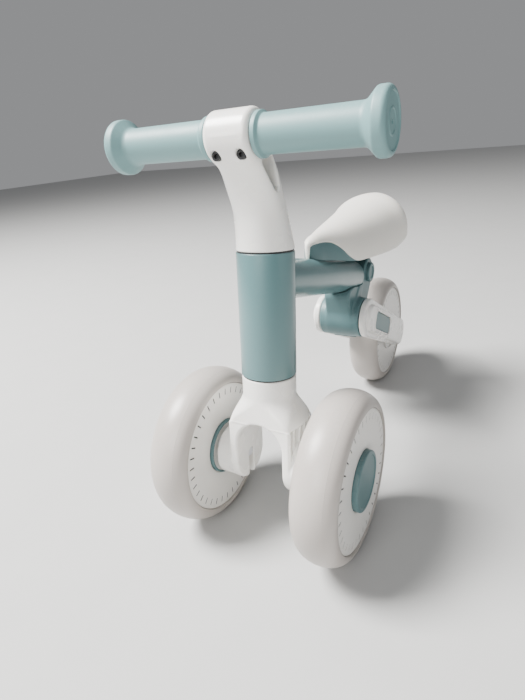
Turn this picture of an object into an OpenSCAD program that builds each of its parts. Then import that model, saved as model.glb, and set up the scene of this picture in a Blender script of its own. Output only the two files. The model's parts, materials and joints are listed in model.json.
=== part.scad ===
// Toddler balance bike: paired front wheels, a raked head tube and one rear wheel on a folding fork.
// +Z is up, the bike faces -Y, and the origin is on the floor midway between the two axle lines.

/* [Bike] */
// Distance between the front and rear axle lines
wheelbase = 332; // [328:1:340]
// Distance between the centre planes of the two front wheels
track = 136.6; // [136:0.2:140]
// Backward lean of the steering axis in degrees
rake = 6.2; // [5:0.1:7]
// Downward slope of the main tube towards the rear in degrees
slope = 14.5; // [14:0.1:15]

/* [Wheels] */
// Outer radius of every tyre
wheel_r = 75; // [74:0.5:76]
// Width of every tyre
tyre_w = 39; // [38:0.2:39.4]
// Radius of the hard disc that carries the tyre
disc_r = 61.4; // [61:0.1:62]
// Offset of the disc's flat faces from the wheel's centre plane
disc_w = 18.3; // [18.2:0.1:18.5]
// Radius of the round cap on each front hub
cap_r = 26.3; // [25.5:0.1:27]

/* [Steering] */
// Outer radius of the head tube
head_r = 23.8; // [23.5:0.1:24.2]
// Height of the head tube's lower end above the front axle, along the steering axis
head_z0 = 84; // [83:0.5:85]
// Length of the head tube
head_l = 103.5; // [102:0.5:105]
// Radius of the steerer tube
steerer_r = 12.7; // [12:0.1:13]
// Forward offset of the handlebar from the steering axis
bar_y = -35.6; // [-36:0.1:-35]
// Height of the handlebar above the front axle, along the steering axis
bar_z = 269; // [268:0.5:270]
// Radius of the handlebar tube
bar_r = 9.5; // [9:0.1:9.6]
// Steering angle to each side in degrees
steer_max = 67.5; // [60:0.5:67.5]

/* [Grips] */
// Radius of a grip's handhold
grip_r = 13; // [12.5:0.1:13.5]
// Radius of a grip's outer flange
grip_flange_r = 20; // [19.5:0.1:20.5]
// Distance from the bike's centre to a grip's inner end
grip_x0 = 18.3; // [18.2:0.1:18.6]
// Distance from the bike's centre to a grip's outer end
grip_x1 = 107.7; // [106:0.1:109]

/* [Fork] */
// Distance from the bike's centre to a leg's inner face
leg_x0 = 22; // [21.8:0.1:22.5]
// Distance from the bike's centre to a leg's outer face
leg_x1 = 30; // [29.5:0.1:30.5]
// Distance from the bike's centre to the end of an axle boss
boss_x = 45; // [44:0.1:45.2]
// Radius of an axle boss
boss_r = 23.5; // [23:0.1:23.7]
// Radius of a wheel axle
axle_r = 4; // [4:0.1:4]

/* [Frame] */
// Outer radius of the main tube
tube_r = 18; // [17.5:0.1:18.2]
// Distance behind the origin of the fold knuckle's axis
knuckle_y = 33.8; // [33:0.1:35]
// Height of the fold knuckle's axis
knuckle_z = 142.8; // [142:0.1:144]
// Radius of the fold knuckle
knuckle_r = 23; // [22.5:0.1:23.2]
// Half-length of the fold knuckle
knuckle_w = 23.3; // [23:0.1:23.4]

/* [Rear fork] */
// Distance from the bike's centre to an arm's inner face
arm_x0 = 23.7; // [23.7:0.05:24]
// Distance from the bike's centre to the outer face of an arm's hub plate
arm_x1 = 31; // [30.5:0.1:31.5]
// Distance from the bike's centre to the outer face of an arm's raised beam
arm_x2 = 35; // [34.8:0.1:35.5]
// Radius of an arm's end around the rear axle
arm_end_r = 20; // [19:0.1:21]
// Length of a release button
button_l = 70; // [68:0.5:71]
// Height of a release button
button_h = 18.6; // [18:0.1:19]

/* [Hidden] */
$fn = 96;
teal = [0.42, 0.60, 0.62];
white = [0.93, 0.92, 0.89];
warm_grey = [0.83, 0.81, 0.79];
steel = [0.70, 0.71, 0.73];
black = [0.12, 0.12, 0.13];

slack = 0.3;             // gap between parts that pass each other
running = 0.06;          // radial clearance of a running fit
head_wall = 2.5;
head_z1 = head_z0 + head_l;
flange_t = 1;            // thickness of a headset bush's flange
crown_z = 58;            // height where the fork's collar ends and its shoulders begin
arch_z = 20;             // height of the centre of the arch between the fork's legs
stop_z = 152;            // height of the steering stop pin
stop_r = 2;
foot_r = head_r - 0.3;   // radius of the fork's collar and of the stem's foot
steerer_top = 200;       // top of the steerer tube
clamp_r = 17.8;          // outer radius of the handlebar clamp
clamp_w = 17.8;          // half-width of the handlebar clamp
screw_x = 10;            // distance of a clamp screw from the bike's centre
tube_y = -90;            // a point on the main tube's axis
tube_z = 223.5;
tube_end = 146;          // length of the main tube behind that point
lobe = [75, 186];        // the seat bolt's axis, as [y, z]
lobe_r = 17;
lobe_w = 16;
tongue_w = 5.8;          // half-width of the seat's tongue
knuckle = [knuckle_y, knuckle_z];
rear = [wheelbase / 2, wheel_r];
arm_tilt = atan2(rear[1] - knuckle[1], rear[0] - knuckle[0]);
arm_l = norm(rear - knuckle);
button_s = 45;           // distance of a button's centre from the knuckle, along the arm
button_x0 = 30.6;        // inner face of a button's pad
button_x1 = 34.7;        // outer face of a button's pad
plunger_s = 15;          // distance of a plunger from the knuckle's axis
bearing_r = 11;
bearing_w = 7;
bearing_x = 10;          // inner end of a bearing, from the wheel's centre plane
recess = 1;              // depth of the seats for the hub cap and ring

// ---- placing ----

// Puts children, drawn around the front axle with +Z up the steering axis, into the bike's frame.
module steer() { translate([0, -wheelbase / 2, wheel_r]) rotate([-rake, 0, 0]) children(); }

// Puts children, drawn around the origin with +Z along the main tube, into the bike's frame.
module along_tube() { translate([0, tube_y, tube_z]) rotate([-90 - slope, 0, 0]) children(); }

// Puts children, drawn with +Y along the rear arm from the knuckle, into the bike's frame.
module along_arm() { translate([0, knuckle_y, knuckle_z]) rotate([arm_tilt, 0, 0]) children(); }

// A cylinder along X from x0 to x1, around the point at = [y, z].
module x_rod(r, x0, x1, at = [0, 0]) {
    translate([x0, at[0], at[1]]) rotate([0, 90, 0]) cylinder(r = r, h = x1 - x0);
}

// Extrudes a [y, z] outline along X from x0 to x1.
module x_plate(x0, x1) {
    translate([x0, 0, 0]) rotate([90, 0, 90]) linear_extrude(height = x1 - x0) children();
}

// Spins a [radius, x] outline around the X axis.
module x_spin() { rotate([0, 90, 0]) rotate_extrude() children(); }

// The four corners of the straight band that joins two circles.
function band(c1, r1, c2, r2) =
    let (d = c2 - c1, a = atan2(d[1], d[0]), b = acos((r1 - r2) / norm(d)))
    [c1 + r1 * [cos(a + b), sin(a + b)], c2 + r2 * [cos(a + b), sin(a + b)],
     c2 + r2 * [cos(a - b), sin(a - b)], c1 + r1 * [cos(a - b), sin(a - b)]];

// Two circles joined by their common tangents.
module link(c1, r1, c2, r2) {
    translate(c1) circle(r = r1);
    translate(c2) circle(r = r2);
    polygon(band(c1, r1, c2, r2));
}

// Points along an arc around c, from angle a0 to angle a1.
function arc(c, r, a0, a1, n = 12) = [for (i = [0:n]) c + r * [cos(a0 + (a1 - a0) * i / n), sin(a0 + (a1 - a0) * i / n)]];

// Mirrors children to the left as well.
module both() {
    children();
    mirror([1, 0, 0]) children();
}

// Puts a front wheel's children, drawn with its outer side towards +X, at side s.
module front_wheel(s) {
    translate([s * track / 2, -wheelbase / 2, wheel_r]) mirror([s < 0 ? 1 : 0, 0, 0]) children();
}

// ---- wheels, drawn around their own centre ----

tread_b = 12.4;          // radial depth of the rounded tread
tyre_seat_r = 57.5;      // radius where the tyre sits on the discs
seat_w = 14.5;           // half-width of that seat

module tyre() {
    half = tyre_w / 2;
    crown = [for (a = [90:-6:-90]) [wheel_r - tread_b + tread_b * cos(a), half * sin(a)]];
    color(warm_grey) x_spin() polygon(concat(
        crown,
        [[disc_r + 0.1, -disc_w - 0.3], [disc_r + 0.1, -seat_w], [tyre_seat_r, -seat_w],
         [tyre_seat_r, seat_w], [disc_r + 0.1, seat_w], [disc_r + 0.1, disc_w + 0.3]]));
}

// One half of a wheel's hard shell, open towards the centre plane at x = 0.
module half_disc(cap_seat) {
    face_t = 3;
    hub_r = bearing_r + 3.5;
    color(white) difference() {
        x_spin() polygon([[6, 0], [hub_r, 0], [hub_r, disc_w - face_t], [tyre_seat_r - 3, disc_w - face_t],
                          [tyre_seat_r - 3, 0], [tyre_seat_r, 0], [tyre_seat_r, seat_w], [disc_r, seat_w],
                          [disc_r, disc_w - 0.6], [disc_r - 0.6, disc_w], [6, disc_w]]);
        x_rod(bearing_r, bearing_x, disc_w + 1);
        if (cap_seat) x_rod(cap_r, disc_w - recess, disc_w + 1);
        if (!cap_seat) x_spin() polygon([[24.2, disc_w - recess], [cap_r + 0.2, disc_w - recess],
                                         [cap_r + 0.2, disc_w + 1], [24.2, disc_w + 1]]);
    }
}

module hub_cap() {
    dome_w = disc_w + 4.1;
    color(teal) x_spin() polygon([[9, disc_w - recess], [cap_r, disc_w - recess], [cap_r, dome_w - 1.4],
                                  [cap_r - 0.5, dome_w - 0.4], [cap_r - 1.6, dome_w], [0, dome_w],
                                  [0, disc_w + 2.4], [9, disc_w + 2.4]]);
}

module hub_ring() {
    color(teal) mirror([1, 0, 0])
        x_spin() polygon([[24.2, disc_w - recess], [cap_r + 0.2, disc_w - recess], [cap_r + 0.2, disc_w + 1.6],
                          [cap_r - 0.4, disc_w + 2.2], [24.2, disc_w + 2.2]]);
}

module bearings() {
    color(steel) both() x_spin() polygon([[axle_r + running, bearing_x], [bearing_r, bearing_x],
                                          [bearing_r, bearing_x + bearing_w],
                                          [axle_r + running, bearing_x + bearing_w]]);
}

module rear_wheel() { translate([0, rear[0], rear[1]]) children(); }

// ---- head tube and steering bearings ----

module head_tube() {
    color(teal) steer() difference() {
        translate([0, 0, head_z0]) cylinder(r = head_r, h = head_l);
        translate([0, 0, head_z0 - 1]) cylinder(r = head_r - head_wall, h = head_l + 2);
        translate([0, 0, stop_z]) rotate([-90, 0, 0]) cylinder(r = stop_r, h = head_r + 1);
    }
}

// A flanged bush; the flange is at z = 0 and the sleeve runs up from it.
module headset_bush() {
    sleeve = 14;
    difference() {
        union() {
            translate([0, 0, -flange_t]) cylinder(r = head_r - 0.8, h = flange_t);
            cylinder(r = head_r - head_wall, h = sleeve);
        }
        translate([0, 0, -flange_t - 1]) cylinder(r = steerer_r + running, h = sleeve + 3);
    }
}

module headset_bush_lower() { color(black) steer() translate([0, 0, head_z0]) headset_bush(); }

module headset_bush_upper() { color(black) steer() translate([0, 0, head_z1]) mirror([0, 0, 1]) headset_bush(); }

module steering_stop_pin() {
    color(steel) steer() translate([0, steerer_r - 1, stop_z]) rotate([-90, 0, 0])
        cylinder(r = stop_r, h = head_r - steerer_r + 0.5);
}

// ---- main tube and rear bracket ----

module main_tube() {
    front = -45;
    color(teal) difference() {
        along_tube() translate([0, 0, front]) cylinder(r = tube_r, h = tube_end - front);
        along_tube() translate([0, 0, front - 1]) cylinder(r = tube_r - 2, h = tube_end - front - 3);
        steer() cylinder(r = head_r, h = 300);
        bracket_screw_sites() cylinder(r = 2, h = 16, center = true);
    }
}

cradle = [16, 173];      // front end of the cradle under the main tube, as [y, z]

module rear_bracket() {
    color(teal) difference() {
        union() {
            x_rod(knuckle_r, -knuckle_w, knuckle_w, knuckle);
            x_plate(-lobe_w, lobe_w) link(knuckle, knuckle_r - 1, lobe, lobe_r);
            x_plate(-lobe_w + 1, lobe_w - 1) link(knuckle, knuckle_r - 3, cradle, 9);
            x_plate(-lobe_w + 1, lobe_w - 1)
                polygon([cradle + [0, 9], lobe + [-lobe_r, 0], knuckle + [0, knuckle_r - 4], cradle]);
            translate([-14, knuckle_y, knuckle_z - knuckle_r - 3]) cube([28, 14, 6]);
        }
        along_tube() translate([0, 0, 80]) cylinder(r = tube_r, h = tube_end - 80);
        translate([-tongue_w - slack, lobe[0] - 13, lobe[1] - 13]) cube([2 * (tongue_w + slack), 40, 40]);
        x_rod(4.1, -lobe_w - 1, lobe_w + 1, lobe);
        x_rod(8, -knuckle_w - 1, knuckle_w + 1, knuckle);
        both() x_plate(knuckle_w - 6, knuckle_w + 1) difference() {
            translate(knuckle) circle(r = plunger_s + 3.6);
            translate(knuckle) circle(r = plunger_s - 3.6);
        }
        bracket_screw_sites() cylinder(r = 2.1, h = 40, center = true);
    }
}

// Puts children at the two screws that hold the main tube in its cradle.
module bracket_screw_sites() {
    for (t = [119, 133]) along_tube() translate([0, tube_r, t]) rotate([90, 0, 0]) children();
}

module bracket_screws() {
    color(steel) bracket_screw_sites() {
        translate([0, 0, -6.5]) cylinder(r = 2, h = 8.3);
    }
}

// ---- seat ----

// Stations of the seat as [y, half-width, crown height, rim height]
seat_parts = [[-55, 9.6, 254.3, 236], [0, 25.5, 258.3, 221], [52, 37, 262.7, 214.5], [114, 47, 269, 219],
              [136, 27, 271.5, 232]];

// The rim of the seat in side view, as [y, z] points from the back to the nose.
seat_rim = [[170, 240], [125, 221], [88, 213.3], [50, 213.3], [10, 218.5]];

// A closed domed form through the seat's stations, inset by g all round.
module seat_form(g) {
    hull() for (s = seat_parts)
        translate([0, s[0], s[3] + 4]) scale([1, 1, (s[2] - s[3] - 4 - g) / (s[1] - g)]) sphere(r = s[1] - g, $fn = 36);
}

// Everything above the seat's rim, with the given points closing the rim at the nose.
module above_rim(nose) {
    x_plate(-60, 60) polygon(concat(seat_rim, nose, [[-70, 290], [170, 290]]));
}

module seat_cover() {
    color(white) difference() {
        intersection() {
            seat_form(0);
            above_rim([[-9, 227], [-23, 240], [-36, 246.5], [-61, 249.5], [-62, 236], [-70, 236]]);
        }
        seat_form(3);
        seat_screw_sites() translate([0, 0, -20]) cylinder(r = 1.9, h = 21.5);
    }
}

module seat_base() {
    color(teal) difference() {
        union() {
            intersection() {
                seat_form(3.3);
                translate([0, 0, 1]) above_rim([[-28, 227.5], [-70, 236.5]]);
                union() {
                    seat_shell();
                    seat_screw_sites() translate([0, 0, -14]) cylinder(r = 4.5, h = 20);
                    for (y = [30, 106]) translate([-50, y, 200]) cube([100, 2.4, 90]);
                    translate([-tongue_w, lobe[0] - 11, 200]) cube([2 * tongue_w, 22, 90]);
                }
            }
            translate([-tongue_w, lobe[0] - 11, lobe[1]]) cube([2 * tongue_w, 22, 68]);
            x_rod(11, -tongue_w, tongue_w, lobe);
        }
        x_rod(4.1, -10, 10, lobe);
        seat_screw_sites() translate([0, 0, -40]) cylinder(r = 1.9, h = 60);
    }
}

// The space between the seat's outer form and the hollow of its base.
module seat_shell() {
    difference() {
        translate([-60, -80, 200]) cube([120, 250, 90]);
        seat_form(6.5);
    }
}

// Puts children at the underside of the cover's crown, at its four screws.
module seat_screw_sites() {
    for (p = [[-30, 0, 253.2], [40, 14, 254.6], [40, -14, 254.6], [124, 0, 267]])
        translate([p[1], p[0], p[2]]) children();
}

module seat_screws() {
    color(steel) seat_screw_sites() translate([0, 0, -12]) cylinder(r = 1.9, h = 13);
}

module seat_bolt() {
    color(steel) {
        x_rod(4, -lobe_w - 1, lobe_w + 1, lobe);
    }
}

module seat_bolt_caps() {
    color(teal) both() difference() {
        x_rod(11.5, lobe_w, lobe_w + 4, lobe);
        x_rod(4.1, lobe_w - 1, lobe_w + 1.2, lobe);
        x_rod(7, lobe_w + 3, lobe_w + 5, lobe);
    }
}

module knuckle_bushes() {
    color(black) both() difference() {
        x_rod(8, 2, knuckle_w, knuckle);
        x_rod(5 + running, 1, knuckle_w + 1, knuckle);
    }
}

// ---- fork and steerer, drawn in the steering frame ----

module fork() {
    color(white) steer() difference() {
        union() {
            translate([0, 0, crown_z - 12]) cylinder(r = foot_r, h = head_z0 - flange_t - slack - crown_z + 12);
            intersection() {
                rotate([90, 0, 0]) linear_extrude(height = 60, center = true) fork_front();
                x_plate(-60, 60) fork_side();
            }
            both() x_rod(boss_r, leg_x1 - 1, boss_x);
            both() for (y = [-12, -4, 4, 12]) translate([leg_x1 - 1, y - 0.8, 10]) cube([6, 1.6, 34]);
        }
        rotate([90, 0, 0]) linear_extrude(height = 80, center = true) {
            translate([0, arch_z]) circle(r = leg_x0);
            translate([-leg_x0, -40]) square([2 * leg_x0, 40 + arch_z]);
        }
        both() x_plate(leg_x0 - 1, leg_x0 + 5) {
            circle(r = 4.3);
            translate([-4.3, -40]) square([8.6, 40]);
        }
        both() x_rod(axle_r, leg_x0, boss_x + 1);
        translate([0, 0, crown_z - 4]) cylinder(r = steerer_r, h = 60);
        cylinder(r = 4.2, h = 80);
        translate([0, 0, arch_z]) cylinder(r = 6.7, h = leg_x0 + 1.5);
    }
}

// Front view of the fork as an [x, z] outline, before the arch is cut.
module fork_front() {
    flare = [for (t = [0:0.125:1]) [foot_r - 0.5 + (leg_x1 + 6.5 - foot_r) * pow(t, 1.6), crown_z + 8 - 22 * t]];
    shoulder = concat(flare, [[leg_x1, crown_z - 17]],
                      [[leg_x1, -boss_r - 2]]);
    polygon(concat(shoulder, [for (i = [len(shoulder) - 1:-1:0]) [-shoulder[i][0], shoulder[i][1]]]));
}

// Side view of the fork as a [y, z] outline.
module fork_side() {
    leg_r = boss_r + 0.5;
    circle(r = leg_r);
    polygon([[-leg_r, 0], [leg_r, 0], [leg_r - 1, 42], [leg_r - 5, 64], [5 - leg_r, 64], [1 - leg_r, 42]]);
}

module steerer_tube() {
    color(steel) steer() difference() {
        translate([0, 0, crown_z - 4]) cylinder(r = steerer_r, h = steerer_top - crown_z + 4);
        translate([0, 0, crown_z - 5]) cylinder(r = steerer_r - 3, h = steerer_top - crown_z + 6);
        translate([0, 0, stop_z - stop_r - 0.5]) rotate([0, 0, 90 - steer_max - 10])
            rotate_extrude(angle = 2 * (steer_max + 10))
                translate([steerer_r - 1.5, 0]) square([4, 2 * stop_r + 1]);
    }
}

module steerer_bolt() {
    color(steel) steer() difference() {
        union() {
            translate([0, 0, arch_z + leg_x0 - 3.6]) cylinder(r = 6.5, h = 5);
            translate([0, 0, arch_z + leg_x0]) cylinder(r = 4, h = steerer_top + 8 - arch_z - leg_x0);
        }
        translate([0, 0, arch_z + leg_x0 - 4.6]) cylinder(r = 3.5, h = 4, $fn = 6);
    }
}

module steerer_nut() {
    color(steel) steer() difference() {
        translate([0, 0, steerer_top]) cylinder(r = 7.5, h = 6.5, $fn = 6);
        translate([0, 0, steerer_top - 1]) cylinder(r = 4, h = 9);
    }
}

// ---- stem and handlebar, drawn in the steering frame ----

bar = [bar_y, bar_z];
stem_z0 = head_z1 + flange_t + slack;
stem_front = [[-foot_r, stem_z0], [-foot_r, 214], [-25.4, 224], [-29.5, 235], [-36, 246], [-44, 254]];
stem_back = [[-18, 268], [-11.5, 257], [-2.5, 235], [5.5, 222], [11.5, 211], [17, 200], [foot_r, stem_z0]];

module stem() {
    color(white) steer() difference() {
        union() {
            intersection() {
                x_plate(-foot_r, foot_r) polygon(concat(stem_front, [bar + [0, -6], bar], stem_back));
                rotate([90, 0, 0]) linear_extrude(height = 140, center = true)
                    polygon([[foot_r, stem_z0], [23, 220], [22, 236], [clamp_w, 256], [clamp_w, 290],
                             [-clamp_w, 290], [-clamp_w, 256], [-22, 236], [-23, 220], [-foot_r, stem_z0]]);
                union() {
                    translate([0, 0, stem_z0]) cylinder(r = foot_r, h = 60);
                    translate([-30, -80, stem_z0 + 22]) cube([60, 100, 90]);
                }
            }
            x_rod(clamp_r, -clamp_w, clamp_w, bar);
        }
        x_rod(bar_r, -30, 30, bar);
        x_plate(-30, 30) polygon([[-33.5, 251.6], [-16.5, 255], [-13.6, 236], [-15.2, 233.6], [-18, 234.5]]);
        translate([0, 0, stem_z0 - 1]) cylinder(r = steerer_r, h = steerer_top - stem_z0 + 1);
        translate([0, 0, steerer_top]) cylinder(r = 7.5, h = 6.5, $fn = 6);
        translate([0, 0, steerer_top]) cylinder(r = 4, h = 12);
        clamp_screw_sites() {
            translate([0, 0, -9]) cylinder(r = 2, h = 20);
            cylinder(r = 3.5, h = 20);
        }
    }
}

// Puts children at the two clamp screws, with +Z out of the clamp's front, below the bar.
module clamp_screw_sites() {
    for (x = [-screw_x, screw_x]) translate([x, bar_y - 9, bar_z - 12.4]) rotate([90, 0, 0]) children();
}

module clamp_screws() {
    color(black) steer() clamp_screw_sites() difference() {
        union() {
            translate([0, 0, -8.8]) cylinder(r = 2, h = 9);
            cylinder(r = 3.3, h = 3);
        }
        translate([0, 0, 1]) cylinder(r = 1.7, h = 3, $fn = 6);
    }
}

module handlebar_tube() {
    color(steel) steer() difference() {
        x_rod(bar_r, -grip_x1 + 6, grip_x1 - 6, bar);
        x_rod(bar_r - 1.5, -grip_x1 + 5, grip_x1 - 5, bar);
    }
}

// One grip, drawn around the handlebar's axis and pointing towards +X.
module grip() {
    inner_r = 15.1;
    end = arc([grip_flange_r - 5, grip_x1 - 5], 5, 90, -75, 10);
    outline = concat([[bar_r, grip_x0], [inner_r - 0.8, grip_x0], [inner_r, grip_x0 + 0.8],
                      [inner_r, grip_x0 + 2], [grip_r, grip_x0 + 5], [grip_r, grip_x1 - 14]],
                     [for (i = [len(end) - 1:-1:0]) end[i]],
                     [[0, grip_x1], [0, grip_x1 - 5], [bar_r, grip_x1 - 5]]);
    color(teal) x_spin() polygon(outline);
}

module grip_right() { steer() translate([0, bar_y, bar_z]) grip(); }

module grip_left() { steer() translate([0, bar_y, bar_z]) mirror([1, 0, 0]) grip(); }

// ---- axles and spacers ----

// Front axle of side s: a pin in the fork's boss with a head outside the outer bearing.
module front_axle(s) {
    head_x = track / 2 + bearing_x + bearing_w + slack;
    color(steel) steer() mirror([s < 0 ? 1 : 0, 0, 0]) {
        x_rod(axle_r, leg_x0 + 1, head_x);
        x_rod(6.5, head_x, head_x + 2.6);
    }
}

module wheel_spacers() {
    color(black) steer() both() difference() {
        x_rod(7, boss_x, track / 2 - bearing_x - bearing_w - slack);
        x_rod(axle_r, boss_x - 1, track / 2);
    }
}

module rear_spacers() {
    color(black) both() difference() {
        x_rod(7, bearing_x + bearing_w + slack, arm_x0, rear);
        x_rod(axle_r, bearing_x, arm_x0 + 1, rear);
    }
}

module rear_axle() { color(steel) x_rod(axle_r, -arm_x2 + 4, arm_x2 - 4, rear); }

module pivot_axle() { color(steel) x_rod(5, -arm_x2 + 5, arm_x2 - 5, knuckle); }

// ---- rear fork arms and release buttons ----

// A rounded bar outline of length l and height h, drawn along the arm at distance s.
module pad(l, h, s) {
    corner = 4;
    for (y = [-1, 1], z = [-1, 1]) translate([s + y * (l / 2 - corner), z * (h / 2 - corner)]) circle(r = corner);
    translate([s - l / 2 + corner, -h / 2]) square([l - 2 * corner, h]);
    translate([s - l / 2, -h / 2 + corner]) square([l, h - 2 * corner]);
}

module arm_right() {
    color(white) along_arm() difference() {
        union() {
            x_plate(arm_x0, arm_x1) link([0, 0], knuckle_r - 0.5, [arm_l, 0], arm_end_r);
            x_plate(arm_x1 - 1, arm_x2) link([0, 0], 15.5, [arm_l, 0], arm_end_r - 1.5);
            x_plate(arm_x2 - 1, arm_x2 + 0.9) pad(button_l + 4.6, button_h + 4.6, button_s);
        }
        x_plate(button_x0 - 3, arm_x2 + 2) pad(button_l + 0.8, button_h + 0.8, button_s);
        x_rod(3.4, arm_x0 - 1, arm_x2, [plunger_s, 0]);
        x_rod(5, arm_x0 - 1, arm_x2 - 5);
        x_rod(axle_r, arm_x0 - 1, arm_x2 - 4, [arm_l, 0]);
    }
}

module arm_left() { mirror([1, 0, 0]) arm_right(); }

spring_at = [button_s + 12, 0];
spring_x0 = button_x0 - 3;

module release_button_right() {
    color(teal) along_arm() difference() {
        union() {
            x_plate(button_x0, button_x1) pad(button_l, button_h, button_s);
            x_rod(3, knuckle_w - 2, button_x0 + 1, [plunger_s, 0]);
        }
        x_rod(4, button_x0 - 1, button_x0 + 1.5, spring_at);
    }
}

module release_button_left() { mirror([1, 0, 0]) release_button_right(); }

// A coil spring along X, swept as a closed tube of octagonal section.
module coil(r, wire_r, x0, x1, turns) {
    rings = 16 * turns;
    sides = 8;
    pts = [for (i = [0:rings], j = [0:sides - 1])
        let (a = 360 * turns * i / rings, w = 360 * j / sides, q = r + wire_r * cos(w))
        [x0 + wire_r + (x1 - x0 - 2 * wire_r) * i / rings + wire_r * sin(w), q * cos(a), q * sin(a)]];
    walls = [for (i = [0:rings - 1], j = [0:sides - 1])
        let (k = (j + 1) % sides) [i * sides + j, i * sides + k, (i + 1) * sides + k, (i + 1) * sides + j]];
    ends = [[for (j = [sides - 1:-1:0]) j], [for (j = [0:sides - 1]) rings * sides + j]];
    polyhedron(points = pts, faces = concat(walls, ends));
}

module button_spring_right() {
    color(steel) along_arm() translate([0, spring_at[0], spring_at[1]])
        coil(3, 0.4, spring_x0 + 0.05, button_x0 + 1.45, 3);
}

module button_spring_left() { mirror([1, 0, 0]) button_spring_right(); }

// ---- nodes ----

head_tube();
headset_bush_upper();
headset_bush_lower();
steering_stop_pin();
main_tube();
rear_bracket();
bracket_screws();
seat_bolt();
seat_bolt_caps();
seat_base();
seat_cover();
seat_screws();
knuckle_bushes();
fork();
steerer_tube();
steerer_bolt();
steerer_nut();
stem();
clamp_screws();
handlebar_tube();
grip_left();
grip_right();
front_axle(-1);  // axle_front_left
front_axle(1);  // axle_front_right
wheel_spacers();
front_wheel(-1) tyre();  // tyre_front_left
front_wheel(-1) half_disc(true);  // disc_outer_front_left
front_wheel(-1) mirror([1, 0, 0]) half_disc(false);  // disc_inner_front_left
front_wheel(-1) hub_cap();  // hub_cap_front_left
front_wheel(-1) hub_ring();  // hub_ring_front_left
front_wheel(-1) bearings();  // bearings_front_left
front_wheel(1) tyre();  // tyre_front_right
front_wheel(1) half_disc(true);  // disc_outer_front_right
front_wheel(1) mirror([1, 0, 0]) half_disc(false);  // disc_inner_front_right
front_wheel(1) hub_cap();  // hub_cap_front_right
front_wheel(1) hub_ring();  // hub_ring_front_right
front_wheel(1) bearings();  // bearings_front_right
arm_left();
arm_right();
pivot_axle();
rear_axle();
rear_spacers();
release_button_left();
release_button_right();
button_spring_left();
button_spring_right();
rear_wheel() tyre();  // tyre_rear
rear_wheel() mirror([1, 0, 0]) half_disc(false);  // disc_left_rear
rear_wheel() half_disc(false);  // disc_right_rear
rear_wheel() bearings();  // bearings_rear
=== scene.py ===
"""Visual model of a toddler balance bike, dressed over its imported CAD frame.

Shapes are worked out in millimetres in each sub-assembly's own frame and then
placed in the bike's frame, which is in metres with the floor at z = 0.
"""

import json
import logging
import math
from dataclasses import dataclass, field
from enum import Enum
from typing import Callable, Sequence

import bmesh
import bpy
import numpy as np
from mathutils import Matrix, Vector


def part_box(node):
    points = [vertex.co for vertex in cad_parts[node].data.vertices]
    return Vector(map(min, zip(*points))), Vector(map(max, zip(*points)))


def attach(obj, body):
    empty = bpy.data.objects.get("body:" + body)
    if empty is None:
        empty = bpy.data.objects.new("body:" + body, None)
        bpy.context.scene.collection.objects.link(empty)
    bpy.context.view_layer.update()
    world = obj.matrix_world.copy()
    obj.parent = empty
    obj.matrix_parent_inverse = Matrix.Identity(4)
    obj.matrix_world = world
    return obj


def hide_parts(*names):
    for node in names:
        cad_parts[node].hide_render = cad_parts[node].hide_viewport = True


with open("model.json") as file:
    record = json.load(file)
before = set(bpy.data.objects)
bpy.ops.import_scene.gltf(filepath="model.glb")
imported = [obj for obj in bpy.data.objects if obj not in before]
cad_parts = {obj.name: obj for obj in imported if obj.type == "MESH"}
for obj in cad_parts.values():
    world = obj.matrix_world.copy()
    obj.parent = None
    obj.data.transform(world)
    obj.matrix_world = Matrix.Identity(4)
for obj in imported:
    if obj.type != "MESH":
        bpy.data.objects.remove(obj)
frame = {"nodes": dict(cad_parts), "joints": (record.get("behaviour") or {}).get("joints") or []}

LOG = logging.getLogger("balance_bike")
MM = 0.001
SHARP = 40.0  # an edge with a larger angle, in degrees, stays sharp
ARC_STEPS = 6  # segments in the arc of each rounded corner
DUST_COLOUR = (0.62, 0.60, 0.57)

Array = np.ndarray
Spot = tuple[float, float]
Triple = tuple[float, float, float]
Knots = tuple[Spot, ...]
Profile = list[Spot]
Field = Callable[[Array], Array]
Pair = Callable[[Array, Array], Array]
Piece = bpy.types.Object
Tree = bpy.types.NodeTree
Socket = bpy.types.NodeSocket


# ---- placing ----


def joint_place(name: str) -> tuple[Vector, Vector]:
    """Finds a joint's anchor and axis.

    Args:
        name: The joint's name in the record.

    Returns:
        The anchor in millimetres and the unit axis.
    """
    joint = next(j for j in frame["joints"] if j["name"] == name)
    return Vector(joint["pos_m"]) / MM, Vector(joint["axis"]).normalized()


def tilt_about_x(origin: Vector, angle: float) -> Matrix:
    """Makes the placement of a frame turned about X.

    Args:
        origin: The frame's origin in millimetres.
        angle: The turn in radians.

    Returns:
        A matrix from the frame's millimetres to the bike's millimetres.
    """
    return Matrix.Translation(origin) @ Matrix.Rotation(angle, 4, "X")


STEER_POS, STEER_AXIS = joint_place("steering_turn")
FOLD_POS = joint_place("rear_fold")[0]
REAR_POS = joint_place("rear_spin")[0]
LEFT_POS = joint_place("front_left_spin")[0]
RIGHT_POS = joint_place("front_right_spin")[0]
STEER = tilt_about_x(STEER_POS, -math.atan2(STEER_AXIS.y, STEER_AXIS.z))
ARM = tilt_about_x(FOLD_POS, math.atan2(REAR_POS.z - FOLD_POS.z, REAR_POS.y - FOLD_POS.y))
ARM_LENGTH = (REAR_POS - FOLD_POS).length
BIKE = Matrix.Identity(4)
MIRROR = Matrix.Scale(-1, 4, (1, 0, 0))
X_TO_Z = Matrix.Rotation(math.radians(-90), 4, "Y")


class Side(Enum):
    """The two sides of the bike, as seen from its front."""

    LEFT = -1
    RIGHT = 1

    @property
    def label(self) -> str:
        """The side's name in piece names."""
        return self.name.lower()

    @property
    def flip(self) -> Matrix:
        """The placement that takes a right-hand piece to this side."""
        return MIRROR if self is Side.LEFT else BIKE


# ---- meshes ----


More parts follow.
